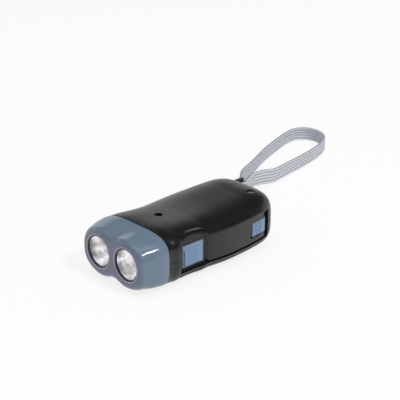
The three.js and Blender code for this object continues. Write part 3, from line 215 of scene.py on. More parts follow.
def catmull_rom(points, steps):
    """A curve through all points, with centripetal spacing so that it never loops between them."""
    points = [np.array(p, float) for p in points]
    points = [2 * points[0] - points[1], *points, 2 * points[-1] - points[-2]]
    line = []
    for before, start, end, after in zip(points, points[1:], points[2:], points[3:]):
        first, middle, last = (
            max(np.linalg.norm(b - a) ** 0.5, LEAST_SPACING)
            for a, b in ((before, start), (start, end), (end, after))
        )
        leave = (start - before) / first - (end - before) / (first + middle) + (end - start) / middle
        arrive = (end - start) / middle - (after - start) / (middle + last) + (after - end) / last
        leave, arrive = leave * middle, arrive * middle
        for t in np.linspace(0, 1, steps, endpoint=False):
            line.append(
                start + leave * t + (3 * (end - start) - 2 * leave - arrive) * t**2
                + (leave + arrive - 2 * (end - start)) * t**3
            )
    return np.array([*line, points[-2]])


def evenly(line, count):
    """The same line through count points at equal distances."""
    steps = np.linalg.norm(np.diff(line, axis=0), axis=1)
    reached = np.concatenate([[0], np.cumsum(steps)])
    wanted = np.linspace(0, reached[-1], count)
    return np.stack([np.interp(wanted, reached, line[:, k]) for k in range(3)], 1), reached[-1]


print("Half way up a smooth step:", float(smooth_step(0, 1, 0.5)))

# %% [markdown]
# The wrist strap is a flat woven band, sewn into a loop round the lug's upright bar. It stands on
# its edge all along: it leaves the bar at the lug's height and comes down, and the far half of the
# loop rests on the table. A cloth simulation could drop it, but its lie is known from the picture,
# so its route is written down as points and joined by a smooth curve. A short fold round the bar
# joins both ends, and points at even distances along it all carry the band's rings.

# %% The strap's route
STRAP_ROUTE = [
    (-10.6, 58.9, 22), (-12.1, 62.2, 22), (-14.3, 66.7, 21.8), (-16.6, 71.2, 21.2), (-19, 76.8, 19.7),
    (-22.2, 83.2, 17.6), (-26, 90.6, 14.9), (-30.9, 99.4, 11.4), (-35.8, 108.2, 7.9), (-40, 117.6, 5.5),
    (-42.3, 125.4, 4.7), (-43.6, 132.5, 4.7), (-45.8, 146.5, 4.7), (-48.8, 160.5, 4.7), (-53, 173.6, 4.7),
    (-59.6, 184.4, 4.7), (-68.6, 189.6, 4.7), (-77.6, 189.2, 4.7), (-83.2, 183, 4.7), (-83, 173.4, 4.7),
    (-79.4, 161.5, 4.7), (-75.2, 149.5, 4.7), (-70.5, 137.5, 4.7), (-64.6, 125, 4.8), (-57.4, 111.4, 5.8),
    (-49.3, 98, 8.4), (-40, 86.2, 12.4), (-30.6, 75.6, 16.6), (-22, 66.2, 20), (-17, 60.9, 21.6),
    (-13.8, 57.4, 22),
]
LUG_X = -11.0
LUG_BAR_Y = 55.6
LUG_MIDDLE_Z = 22.0
FOLD_RADIUS = 2.3
FOLD_DEGREES = 50
FOLD_LEAN_DEGREES = 25
FOLD_POINTS = 20
STRAP_STEP = 0.9
CURVE_STEPS = 24

strap_line = catmull_rom(STRAP_ROUTE, CURVE_STEPS)
_, free_length = evenly(strap_line, 2)
loop_line, _ = evenly(strap_line, round(free_length / STRAP_STEP))
fold_angles = np.radians(np.linspace(FOLD_DEGREES, 360 - FOLD_DEGREES, FOLD_POINTS) - FOLD_LEAN_DEGREES)
fold_line = np.stack([
    LUG_X + FOLD_RADIUS * np.sin(fold_angles),
    LUG_BAR_Y + FOLD_RADIUS * np.cos(fold_angles),
    np.full(len(fold_angles), LUG_MIDDLE_Z),
], 1)
half_fold = len(fold_line) // 2
strap_centres = np.concatenate([fold_line[:half_fold][::-1], loop_line, fold_line[half_fold:][::-1]])

# %% [markdown]
# The band itself could be a plane with a thickness, but its faces carry five woven ribs that show
# in its outline. So its section is drawn first, and a grid is wrapped round the route: one way runs
# along the band, the other way round the section. The grid's own UV map then follows the weave.

# %% The strap's band
STRAP_WIDTH = 9.0
STRAP_THICKNESS = 1.6
STRAP_RIBS = 5
RIB_RISE_SHARE = 0.28
RIB_FULLNESS = 0.6
EDGE_ROUNDING = 0.6
FACE_POINTS = 41
STRAP_MERGE = 0.01 * MM


def strap_section():
    """The band's outline as (across, thickness) pairs, once round from one of its edges."""
    across = np.linspace(-1, 1, FACE_POINTS)
    rib = np.abs(np.sin(np.pi * STRAP_RIBS * (across + 1) / 2)) ** RIB_FULLNESS
    edge = np.clip((1 - np.abs(across)) * STRAP_WIDTH / 2 / EDGE_ROUNDING, 0, 1)
    round_off = np.sqrt(1 - (1 - edge) ** 2)
    half = STRAP_THICKNESS / 2
    height = half * round_off * (1 - RIB_RISE_SHARE * (1 - rib))
    height[0] = height[-1] = 0
    upper = np.stack([across * STRAP_WIDTH / 2, height], 1)
    lower = np.stack([across[::-1] * STRAP_WIDTH / 2, -height], 1)[1:]
    return np.concatenate([upper, lower])


def wrapped_sheet(name, lines, opening=None, rim=None):
    """A grid whose vertices are put on the given lines. The faces of an opening are left out, and
    the vertices of its rim are kept in a vertex group."""
    columns, rows = len(lines) - 1, len(lines[0]) - 1
    bpy.ops.object.select_all(action="DESELECT")
    bpy.ops.mesh.primitive_grid_add(x_subdivisions=columns, y_subdivisions=rows, size=1)
    sheet = bpy.context.active_object
    sheet.name = name
    if opening:
        pick(sheet, "FACE", lambda middle, _: opening((middle.x + 0.5) * columns, (middle.y + 0.5) * rows))
        bpy.ops.mesh.delete(type="FACE")
        leave_edit()
    group = sheet.vertex_groups.new(name="rim") if rim else None
    for vertex in sheet.data.vertices:
        column = round((vertex.co.x + 0.5) * columns)
        row = round((vertex.co.y + 0.5) * rows)
        vertex.co = point(*lines[column][row])
        if rim and rim(column, row):
            group.add([vertex.index], 1, "REPLACE")
    return sheet


section = strap_section()
tangents = np.gradient(strap_centres, axis=0)
tangents /= np.linalg.norm(tangents, axis=1)[:, None]
strap_rings = []
for centre, along in zip(strap_centres, tangents):
    across = np.array([0, 0, -1.0])
    across -= along * across.dot(along)
    across /= np.linalg.norm(across)
    face = np.cross(across, along)
    strap_rings.append([centre + across * u + face * v for u, v in section])
strap = wrapped_sheet("wrist_strap_band", strap_rings)
tidy_mesh(strap, STRAP_MERGE)
smooth_by_angle(strap, degrees=60)
print("Strap faces:", len(strap.data.polygons))

# %% [markdown]
# The body is one smooth form: a section with rounded corners that changes its width and height
# along the torch. It could be sculpted from a block, but then it would drift from the solid. The
# same station table as in the CAD gives that form here, so that each skin can be wrapped on it in a
# much finer grid and still sit over the solid. Only the lamp head's far shoulder is a little fuller.

# %% The body's stations
FRONT_Y = -51.5
BODY_LENGTH = 103.0
HALF_WIDTH = 26.9
HEIGHT = 31.0
HEAD_LENGTH = 17.5
SEAM_Y = FRONT_Y + HEAD_LENGTH
STATIONS = [
    (0, 0.912, 0.945, 0.03), (0.044, 0.915, 0.945, 0.026), (0.092, 0.959, 0.952, 0.02),
    (0.15, 0.985, 0.968, 0.015), (0.209, 0.95, 0.981, 0.012), (0.286, 0.9, 0.975, 0.008),
    (0.364, 0.892, 0.96, 0.004), (0.461, 0.955, 0.945, 0), (0.578, 1, 0.945, 0),
    (0.694, 0.985, 0.962, 0), (0.811, 0.941, 0.985, 0.004), (0.898, 0.874, 1, 0.008),
    (0.956, 0.77, 0.968, 0.03), (0.985, 0.632, 0.887, 0.07), (1, 0.461, 0.784, 0.13),
]


def station_share(column, y):
    """One column of the station table at a place along the body, as a smooth curve."""
    along = (y - FRONT_Y) / BODY_LENGTH
    last = len(STATIONS) - 1
    i = 0
    while i < last - 1 and along > STATIONS[i + 1][0]:
        i += 1

    def slope(k):
        before, after = STATIONS[max(k - 1, 0)], STATIONS[min(k + 1, last)]
        return (after[column] - before[column]) / (after[0] - before[0])

    span = STATIONS[i + 1][0] - STATIONS[i][0]
    t = min(max((along - STATIONS[i][0]) / span, 0), 1)
    weight = 2 * t**3 - 3 * t**2 + 1
    level = weight * STATIONS[i][column] + (1 - weight) * STATIONS[i + 1][column]
    return level + span * ((t**3 - 2 * t**2 + t) * slope(i) + (t**3 - t**2) * slope(i + 1))


print("Body", BODY_LENGTH, "mm long, given by", len(STATIONS), "stations")

# %% [markdown]
# On top of the table come the forms that not every section has: the swell round the switch's
# pocket, and the head's softer corners and rounder side. They could be columns of the table, but
# each is short and has its own ends, so that a rule of its own says more.

# %% Width, heights and swells
FOOT_TRIM = 0.35
FLARE = 1.7
FLARE_FRONT_Y = -33.5
FLARE_REAR_Y = -3.5
FLARE_RAMP = 6.5
CORNER_POWER = 3.84
HEAD_POWER = 2.5
HEAD_SWELL = 1.2


def half_width_at(y):
    """Half the body's width at a place along it, without the flare."""
    return HALF_WIDTH * station_share(1, y)


def top_at(y):
    """The roof's height at a place along the body."""
    return HEIGHT * station_share(2, y)


def belly_at(y):
    """The underside's height at a place along the body."""
    return HEIGHT * station_share(3, y) - FOOT_TRIM


def flare_at(y):
    """How far the switch side swells out round its pocket."""
    rise = smooth_step(FLARE_FRONT_Y, FLARE_FRONT_Y + FLARE_RAMP, y)
    return FLARE * rise * (1 - smooth_step(FLARE_REAR_Y - FLARE_RAMP, FLARE_REAR_Y, y))


def head_share_at(y):
    """0 at the seam behind the lamp head and 1 at its front."""
    return min(max((SEAM_Y - y) / HEAD_LENGTH, 0), 1)


def power_at(y):
    """How square the section's corners are."""
    return CORNER_POWER + (HEAD_POWER - CORNER_POWER) * head_share_at(y) ** 2


def head_swell_at(y):
    """How far the lamp head bulges between its front and its seam, on the side without the lever."""
    share = head_share_at(y)
    return HEAD_SWELL * 4 * share * (1 - share)


print("Width and height in the middle:", round(2 * half_width_at(0), 1), round(top_at(0) - belly_at(0), 1))

# %% [markdown]
# Each section is a rounded rectangle: cosine and sine, each raised to a power below one, push the
# points of an ellipse out towards its corners. Circles joined by lines would do too, but one rule
# lets the corners change smoothly along the torch. The head's section also has a saddle between its
# two lobes. Points by angle crowd in the corners, so another helper spaces them evenly.

# %% The body's sections
SADDLE_TOP = 2.4
SADDLE_BELLY = 3.3
SADDLE_HALF_WIDTH = 7.0
SECTION_POINTS = 1441


def body_section(y, inset, angles):
    """The section's points for angles that start at the switch side and go over the roof."""
    across = np.sign(np.cos(angles)) * np.abs(np.cos(angles)) ** (2 / power_at(y))
    up = np.sign(np.sin(angles)) * np.abs(np.sin(angles)) ** (2 / power_at(y))
    x = across * (half_width_at(y) - inset + np.where(across > 0, flare_at(y), head_swell_at(y)))
    saddle = head_share_at(y) * np.where(up > 0, SADDLE_TOP, SADDLE_BELLY)
    saddle = saddle * np.exp(-((x / SADDLE_HALF_WIDTH) ** 2))
    middle = (top_at(y) + belly_at(y)) / 2
    half_height = (top_at(y) - belly_at(y)) / 2 - inset
    return np.stack([x, np.full_like(x, y), middle + up * half_height - up * saddle], 1)


def angle_at(y, z):
    """The angle at which the section's switch side reaches a height."""
    middle = (top_at(y) + belly_at(y)) / 2
    up = (z - middle) / ((top_at(y) - belly_at(y)) / 2)
    return math.copysign(math.asin(min(abs(up), 1) ** (power_at(y) / 2)), up)


def even_run(y, inset, start, stop, steps):
    """Points at equal distances along a stretch of the section."""
    line = body_section(y, inset, np.linspace(start, stop, SECTION_POINTS))
    return evenly(line, steps + 1)[0]


print("A quarter of a section:", even_run(0, 0, 0, math.pi / 2, 4).round(1).tolist())

# %% [markdown]
# The two halves of the housing are moulded shells that meet at mid height. On the switch side they
# leave an opening: a pocket for the thumb switch, which runs on into the long window of the lever.
# Cutting that out of a finished shell leaves ragged edges that don't bevel well. So each half
# starts as a sheet whose grid lines already follow the opening's rim. First come the rim's shape
# and the places along the body where the sheet has its rings.

# %% The opening and the rings
SPLIT_Z = 15.4
SEAM_GAP = 0.2
MIDDLE_Z = 15.3
POCKET_FRONT_Y = -26.1
POCKET_REAR_Y = -0.7
POCKET_HALF_HEIGHT = 10.5
POCKET_LOWER_SHARE = 0.83
POCKET_FLOOR_X = 23.0
POCKET_SHARES = [
    (0, 0.74), (0.024, 0.79), (0.047, 0.845), (0.07, 0.886), (0.122, 0.94), (0.181, 0.972),
    (0.276, 1), (0.394, 0.998), (0.524, 0.985), (0.618, 0.97), (0.665, 0.94), (0.709, 0.9),
    (0.74, 0.84), (0.77, 0.77), (0.8, 0.735), (1, 0.733),
]
OPENING_TOP_REACH = 7.7
OPENING_BOTTOM_REACH = 8.5
OPENING_REAR_Y = 42.3
NECK_INSET = 2.4
NECK_FRONT_Y = -39.0
NECK_MIDDLE_Y = -36.5
NECK_END_GAP = 0.05
SEAM_LIP = [(0, 0.35), (0.1, 0.12), (0.3, 0)]
SKIN_START = 1
REAR_Y = 51.5
FRONT_RINGS = 10
POCKET_RINGS = 45
WINDOW_RINGS = 36
REAR_RINGS = 22
RIM_BLEND_SHARES = np.linspace(-0.02, 0.02, 5)


def rim_height_at(y, side):
    """The opening's reach above or below its middle height, at a place along the body."""
    share = (y - POCKET_FRONT_Y) / (POCKET_REAR_Y - POCKET_FRONT_Y)
    spread = RIM_BLEND_SHARES + min(max(share, 0), 1)
    reach = POCKET_HALF_HEIGHT * np.interp(spread, *zip(*POCKET_SHARES)).mean()
    if side > 0:
        return max(reach, OPENING_TOP_REACH)
    return max(reach * POCKET_LOWER_SHARE, OPENING_BOTTOM_REACH)


def shell_stations():
    """Places along the body with the inset of the skin there, and the opening's two ends."""
    neck = [(y, NECK_INSET) for y in (NECK_FRONT_Y, NECK_MIDDLE_Y, SEAM_Y - NECK_END_GAP)]
    lip = [(SEAM_Y + behind, inset) for behind, inset in SEAM_LIP]
    front = [(y, 0) for y in np.linspace(SEAM_Y + SKIN_START, POCKET_FRONT_Y, FRONT_RINGS)]
    pocket = [(y, 0) for y in np.linspace(POCKET_FRONT_Y, POCKET_REAR_Y, POCKET_RINGS)[1:]]
    window = [(y, 0) for y in np.linspace(POCKET_REAR_Y, OPENING_REAR_Y, WINDOW_RINGS)[1:]]
    rear = [(y, 0) for y in np.linspace(OPENING_REAR_Y, REAR_Y, REAR_RINGS)[1:]]
    before = len(neck) + len(lip) + len(front) - 1
    return neck + lip + front + pocket + window + rear, before, before + len(pocket) + len(window)


print("Rings along the body:", len(shell_stations()[0]))

# %% [markdown]
# A row of points runs over the roof from the seam of the far side to the opening's rim, and a
# second one from there down to the seam. The faces of the second row are the opening's, and are
# deleted. Rings that shrink to a point close the rear end, which is a little crowned.

# %% Half a shell
END_CROWN = 0.8
END_SHARES = (0.9, 0.75, 0.5, 0.25, 0)
ROOF_ROWS = 84
SIDE_ROWS = 14


def half_shell(name, side):
    """One half of the housing: side is 1 for the upper half and -1 for the lower one."""
    stations, first, last = shell_stations()
    split = SPLIT_Z + side * SEAM_GAP / 2
    lines = []
    for y, inset in stations:
        seam = angle_at(y, split)
        rim = angle_at(y, MIDDLE_Z + side * rim_height_at(y, side))
        turn = 0 if side > 0 else 2 * math.pi
        over = even_run(y, inset, math.pi - seam, turn + rim, ROOF_ROWS)
        down = even_run(y, inset, turn + rim, turn + seam, SIDE_ROWS)
        line = np.concatenate([over, down[1:]])
        line[:, 2] = np.maximum(line[:, 2], 0)
        lines.append(line)
    centre = np.array([0, REAR_Y, split])
    last_line = lines[-1]
    for share in END_SHARES:
        crown = [0, END_CROWN * (1 - share**2), 0]
        lines.append(centre + (last_line - centre) * share + crown)
    shell = wrapped_sheet(
        name,
        lines,
        opening=lambda i, j: first < i < last and j > ROOF_ROWS,
        rim=lambda i, j: (j == ROOF_ROWS and first <= i <= last) or (i in (first, last) and j >= ROOF_ROWS),
    )
    tidy_mesh(shell)
    outwards = sum(face.normal.z * side * face.area for face in shell.data.polygons)
    if outwards < 0:
        edit_all(shell)
        bpy.ops.mesh.flip_normals()
        leave_edit()
    return shell


upper_shell = half_shell("upper_shell", 1)
lower_shell = half_shell("lower_shell", -1)
print("Sheets:", len(upper_shell.data.polygons), len(lower_shell.data.polygons), "faces")

# %% [markdown]
# The opening's rim turns inwards towards the pocket's floor, and its outer edge is rounded. The
# wall comes last, from a modifier that thickens the sheet inwards, so that rim and skin share it.

# %% The rim and the wall
RIM_DEPTH = 3.4
RIM_ROUNDING = 0.4
RIM_FLOOR_GAP = 0.1
SHELL_WALL = 2.1


def in_rim(shell):
    """Opens edit mode with the edges of the opening's rim picked."""
    rim = shell.vertex_groups["rim"].index
    kept = {v.index for v in shell.data.vertices if any(g.group == rim for g in v.groups)}
    places = {tuple(shell.data.vertices[index].co) for index in kept}
    pick(shell, "VERT", lambda place, _: tuple(place) in places)
    bpy.ops.mesh.select_mode(type="EDGE")


def give_rim(shell):
    """Pulls the opening's rim inwards and rounds its outer edge."""
    in_rim(shell)
    bpy.ops.mesh.extrude_edges_move()
    leave_edit()
    pulled = [vertex for vertex in shell.data.vertices if vertex.select]
    shell.vertex_groups["rim"].remove([vertex.index for vertex in pulled])
    for vertex in pulled:
        vertex.co.x = min(POCKET_FLOOR_X - RIM_FLOOR_GAP, vertex.co.x / MM - RIM_DEPTH) * MM
    in_rim(shell)
    bpy.ops.mesh.bevel(offset=RIM_ROUNDING * MM, segments=3, affect="EDGES", clamp_overlap=True)
    leave_edit()
    return shell


for shell in (upper_shell, lower_shell):
    give_rim(shell)
    finish_with(shell, "SOLIDIFY", thickness=SHELL_WALL * MM, offset=-1)
    print(shell.name, "faces:", len(shell.data.polygons))

# %% [markdown]
# Inside the housing stand the posts that carry the gears, the boards and the screws. They could be
# modelled again, but they are right in the CAD already. So a copy of each half is merged, its lug is
# cut off, and what stays within the space inside the new skins is kept: the posts alone.

# %% Closed forms and copies
FLAT_DEGREES = 0.5


def fill_ends(piece):
    """Closes a tube's open ends with one face each."""
    edit_all(piece)
    bpy.ops.mesh.remove_doubles(threshold=TINY_MERGE)
    bpy.ops.mesh.fill_holes(sides=0)
    bpy.ops.mesh.normals_make_consistent(inside=False)
    leave_edit()
    return piece


def body_core(name, stations, rows, reach_x):
    """A closed form inside the body, up to reach_x: each station is a place along it and an inset."""
    lines = []
    for y, inset in stations:
        line = even_run(y, inset, 0, 2 * math.pi, rows)
        line[-1] = line[0]
        line[:, 0] = np.minimum(line[:, 0], reach_x)
        lines.append(line)
    return fill_ends(wrapped_sheet(name, lines))


def merged_copy(name, node):
    """A copy of a CAD node as one merged mesh, without its tags and with its flat faces made whole."""
    hold(frame["nodes"][node])
    bpy.ops.object.duplicate()
    piece = bpy.context.active_object
    piece.name = name
    piece.parent = None
    for kept in list(piece.keys()):
        del piece[kept]
    edit_all(piece)
    bpy.ops.mesh.remove_doubles(threshold=TINY_MERGE)
    bpy.ops.mesh.dissolve_limited(angle_limit=math.radians(FLAT_DEGREES))
    leave_edit()
    return piece


def cut_off(piece, place, way):
    """Cuts a piece by a plane and keeps what lies behind it, closed again."""
    edit_all(piece)
    bpy.ops.mesh.bisect(plane_co=point(*place), plane_no=way, use_fill=True, clear_outer=True)
    leave_edit()
    return piece


print("Faces within", FLAT_DEGREES, "degrees of each other are made one")

# %% [markdown]
# The space is a closed form a little smaller than the body, so that nothing of the CAD's own skin is
# left. It has a narrow neck where the lamp head sits, and it stops short of the pocket.

# %% The posts inside
POSTS_REAR_Y = 49.0
POSTS_INSET = 2.0
NECK_POSTS_INSET = 4.1
NECK_POSTS_REAR_Y = -32.6
BODY_POSTS_FRONT_Y = -32.4
POSTS_REACH_X = 21.1
SPACE_RINGS = 50
SPACE_SIDES = 96


def inner_posts(name, node):
    """The posts of one half: its CAD solid, cut back to the space inside its skin."""
    posts = cut_off(merged_copy(name, node), (0, POSTS_REAR_Y, 0), (0, 1, 0))
    neck = [(y, NECK_POSTS_INSET) for y in (NECK_FRONT_Y, NECK_POSTS_REAR_Y)]
    body = [(y, POSTS_INSET) for y in np.linspace(BODY_POSTS_FRONT_Y, REAR_Y - POSTS_INSET, SPACE_RINGS)]
    return cut_with(posts, body_core(name + "_space", neck + body, SPACE_SIDES, POSTS_REACH_X), "INTERSECT")


upper_posts = inner_posts("upper_posts", "upper_housing")
lower_posts = inner_posts("lower_posts", "lower_housing")
for posts in (upper_posts, lower_posts):
    smooth_by_angle(posts)
    print(posts.name, "faces:", len(posts.data.polygons))

# %% [markdown]
# Two screws hold the halves together, deep in round bores in the roof. Rings for them in the roof's
# grid would bend its rows, so a cylinder cuts each bore, and a shallow cone, tilted with the roof,
# breaks its edge, as the steel core of a mould would.

# %% The screw bores
SCREWS = [(-1.4, -17.3), (10.8, 40.3)]
SCREW_BORE_RADIUS = 2.35
SCREW_BORE_DEPTH = 6
BORE_OVERRUN = 2
BORE_EDGE = 0.35
BORE_SIDES = 64
ROOF_END_ANGLE = 0.05
SLOPE_STEP = 0.5


def roof_point(x, y):
    """The roof's height and outward direction above a place."""
    def height(px, py):
        angles = np.linspace(ROOF_END_ANGLE, math.pi - ROOF_END_ANGLE, SECTION_POINTS)
        line = body_section(py, 0, angles)[::-1]
        return np.interp(px, line[:, 0], line[:, 2])

    slope_x = (height(x + SLOPE_STEP, y) - height(x - SLOPE_STEP, y)) / (2 * SLOPE_STEP)
    slope_y = (height(x, y + SLOPE_STEP) - height(x, y - SLOPE_STEP)) / (2 * SLOPE_STEP)
    return height(x, y), Vector((-slope_x, -slope_y, 1)).normalized()


def round_block(middle, direction, low_radius, high_radius, depth, sides=BORE_SIDES):
    """A cone or cylinder round a middle point, in millimetres, that stands along a direction."""
    bpy.ops.object.select_all(action="DESELECT")
    bpy.ops.mesh.primitive_cone_add(
        vertices=sides, radius1=low_radius * MM, radius2=high_radius * MM, depth=depth * MM,
        location=point(*middle), rotation=Vector(direction).to_track_quat("Z", "Y").to_euler(),
    )
    return settle(bpy.context.active_object)


for x, y in SCREWS:
    roof_z, roof_normal = roof_point(x, y)
    bore_middle = (x, y, roof_z + (BORE_OVERRUN - SCREW_BORE_DEPTH) / 2)
    cut_with(upper_shell, round_block(
        bore_middle, (0, 0, 1), SCREW_BORE_RADIUS, SCREW_BORE_RADIUS, SCREW_BORE_DEPTH + BORE_OVERRUN,
    ))
    cut_with(upper_shell, round_block(
        (x, y, roof_z), roof_normal,
        SCREW_BORE_RADIUS - BORE_EDGE, SCREW_BORE_RADIUS + BORE_EDGE, 2 * BORE_EDGE,
    ))
    print("Bore at", x, y, "roof height", round(float(roof_z), 2))

# %% [markdown]
# The pocket's floor is a flat panel in which the switch slides. It ends in a hollow round the
# lever's nose, which turns there. A plain block is right for it, because only its flat face and the
# edges of its window show: the window and the hollow are cut out, and all edges are rounded a little.

# %% The switch panel
PANEL_INNER_X = 21.2
PANEL_HALF_HEIGHT = 11.0
PANEL_FRONT_Y = -27.0
SWITCH_WINDOW = (-24.9, -7.9, 8.5, 21.2)
LEVER_PIVOT_X = 19.5
LEVER_PIVOT_Y = -1.2
NOSE_HOLLOW_RADIUS = 5.5
NOSE_HOLLOW_HEIGHT = 40
WINDOW_CUT_X = (10, 30)
PANEL_ROUNDING = 0.2
SHARP_RADIANS = 0.7


def block(name, x0, x1, y0, y1, z0, z1):
    """A box between two corners, in millimetres."""
    bpy.ops.object.select_all(action="DESELECT")
    middle = point((x0 + x1) / 2, (y0 + y1) / 2, (z0 + z1) / 2)
    bpy.ops.mesh.primitive_cube_add(size=1, location=middle)
    piece = bpy.context.active_object
    piece.name = name
    piece.scale = ((x1 - x0) * MM, (y1 - y0) * MM, (z1 - z0) * MM)
    return settle(piece)


def round_edges(piece, rounding):
    """Rounds all of a piece's sharp edges."""
    return finish_with(
        piece, "BEVEL", width=rounding * MM, segments=2, limit_method="ANGLE", angle_limit=SHARP_RADIANS,
    )


switch_panel = block(
    "switch_panel", PANEL_INNER_X, POCKET_FLOOR_X, PANEL_FRONT_Y, LEVER_PIVOT_Y,
    MIDDLE_Z - PANEL_HALF_HEIGHT, MIDDLE_Z + PANEL_HALF_HEIGHT,
)
cut_with(switch_panel, block("window", *WINDOW_CUT_X, *SWITCH_WINDOW))
cut_with(switch_panel, round_block(
    (LEVER_PIVOT_X, LEVER_PIVOT_Y, MIDDLE_Z), (0, 0, 1),
    NOSE_HOLLOW_RADIUS, NOSE_HOLLOW_RADIUS, NOSE_HOLLOW_HEIGHT,
))
round_edges(switch_panel, PANEL_ROUNDING)
smooth_by_angle(switch_panel)
print("Panel faces:", len(switch_panel.data.polygons))

# %% [markdown]
# The strap hangs on a lug at the rear: two arms that grow out of the housing, one above the other,
# with an upright round bar between them. The lug could be bent from one tube, but a moulded one has
# flat arms. So the arms are blocks with well rounded ends, and the bar is a cylinder between them.

# %% The strap lug
LUG_HALF_HEIGHT = 5.6
LUG_ARM_HALF_WIDTH = 0.9
LUG_ARM_HALF_HEIGHT = 0.6
LUG_ROOT_Y = 49.6
LUG_BAR_RADIUS = 1.2
LUG_BAR_SIDES = 32
LUG_END_SHARE = 0.95
LUG_ROUNDING = 0.15
SAME_PLACE = 1e-6


def joined(*pieces):
    """Joins pieces into the first one."""
    hold(*pieces)
    bpy.ops.object.join()
    return pieces[0]


lug_end_y = LUG_BAR_Y + LUG_BAR_RADIUS
lug_parts = []
for side in (-1, 1):
    arm_z = LUG_MIDDLE_Z + side * LUG_HALF_HEIGHT
    arm = block(
        "lug_arm", LUG_X - LUG_ARM_HALF_WIDTH, LUG_X + LUG_ARM_HALF_WIDTH, LUG_ROOT_Y, lug_end_y,
        arm_z - LUG_ARM_HALF_HEIGHT, arm_z + LUG_ARM_HALF_HEIGHT,
    )
    end_y = point(0, lug_end_y, 0).y
    pick(arm, "EDGE", lambda middle, run: abs(middle.y - end_y) < SAME_PLACE and abs(run.z) > abs(run.x))
    bpy.ops.mesh.bevel(offset=LUG_END_SHARE * LUG_ARM_HALF_WIDTH * MM, segments=6, affect="EDGES")
    leave_edit()
    lug_parts.append(round_edges(arm, LUG_ROUNDING))
lug_parts.append(round_block(
    (LUG_X, LUG_BAR_Y, LUG_MIDDLE_Z), (0, 0, 1),
    LUG_BAR_RADIUS, LUG_BAR_RADIUS, 2 * LUG_HALF_HEIGHT, LUG_BAR_SIDES,
))
strap_lug = smooth_by_angle(joined(*lug_parts))
strap_lug.name = "strap_lug"
print("Lug faces:", len(strap_lug.data.polygons))

# %% [markdown]
# The lamp head is a glossy moulding with two lobes and a shallow valley between them. A box with
# bevels would miss the soft change from one to the other, so the head is wrapped on the same form as
# the body, from its front over its wide round edge to its seam, and back along its inner wall. Then
# it is bored for the two lamps.

# %% The lamp head
HEAD_EDGE_RADIUS = 3.0
HEAD_GAP = 0.25
HEAD_WALL = 2.0
HEAD_FRONT_WALL = 5.5
HEAD_ROWS = 256
HEAD_EDGE_RINGS = 10
HEAD_SIDE_RINGS = 56
HEAD_INSIDE_RINGS = 8
HEAD_END_RINGS = 12
HEAD_LIP_START = 0.3
HEAD_LIP = [(0.1, 0.08), (0, 0.3), (0, HEAD_WALL)]
LAMP_X = 11.2
LAMP_Z = 15.6
LAMP_RADIUS = 9.1
LAMP_BORE_RADIUS = 9.6
LAMP_SEAT_RADIUS = 10.0
LAMP_SEAT_DEPTH = 2.3
LAMP_SIDES = 96
BORE_CUT_LENGTH = 16
SEAT_CUT_LENGTH = 8


def head_ring(y, inset):
    """A closed ring round the head, at a place along it and an inset from its skin."""
    line = even_run(y, inset, 0, 2 * math.pi, HEAD_ROWS)
    line[-1] = line[0]
    return line


def end_rings(ring, shares):
    """Rings that shrink from an end ring towards its middle, to close a form with small flat faces."""
    middle = np.array([0, ring[0][1], (ring[:, 2].max() + ring[:, 2].min()) / 2])
    return [middle + (ring - middle) * share for share in shares]


edge_turns = np.linspace(0, math.pi / 2, HEAD_EDGE_RINGS)
head_edge = [
    head_ring(FRONT_Y + HEAD_EDGE_RADIUS * (1 - math.cos(turn)), HEAD_EDGE_RADIUS * (1 - math.sin(turn)))
    for turn in edge_turns
]
head_rear_y = SEAM_Y - HEAD_GAP
side_places = np.linspace(FRONT_Y + HEAD_EDGE_RADIUS, head_rear_y - HEAD_LIP_START, HEAD_SIDE_RINGS)
inside_places = np.linspace(head_rear_y, FRONT_Y + HEAD_FRONT_WALL, HEAD_INSIDE_RINGS)
head_side = [head_ring(y, 0) for y in side_places[1:]]
head_lip = [head_ring(head_rear_y - before, inset) for before, inset in HEAD_LIP]
head_inside = [head_ring(y, HEAD_WALL) for y in inside_places[1:]]
end_shares = np.linspace(0, 1, HEAD_END_RINGS)[:-1]
lamp_head = wrapped_sheet("lamp_head_bezel", [
    *end_rings(head_edge[0], end_shares), *head_edge, *head_side, *head_lip, *head_inside,
    *end_rings(head_inside[-1], end_shares[::-1]),
])
tidy_mesh(lamp_head)
for side in (-1, 1):
    for middle_y, radius, length in (
        (FRONT_Y, LAMP_BORE_RADIUS, BORE_CUT_LENGTH),
        (FRONT_Y + LAMP_SEAT_DEPTH + SEAT_CUT_LENGTH / 2, LAMP_SEAT_RADIUS, SEAT_CUT_LENGTH),
    ):
        middle = (side * LAMP_X, middle_y, LAMP_Z)
        cut_with(lamp_head, round_block(middle, (0, 1, 0), radius, radius, length, LAMP_SIDES))
smooth_by_angle(lamp_head, degrees=40)
print("Head faces:", len(lamp_head.data.polygons))

# %% [markdown]
# Each lamp is a clear lens over a bright reflector with flat facets, and a clear LED in its middle.
# A black ring lines the bore in front of the lens, and a fine rounded rim that catches the light lines its
# edge; its plastic is painted lighter than the head's, a painted highlight. Each could be cut from a
# cylinder, but all of them are turned shapes: a profile is drawn as a chain of vertices and spun round the
# lamp's axis. A lathe does the same.

# %% Turned pieces
TURNED_MERGE = 0.004 * MM


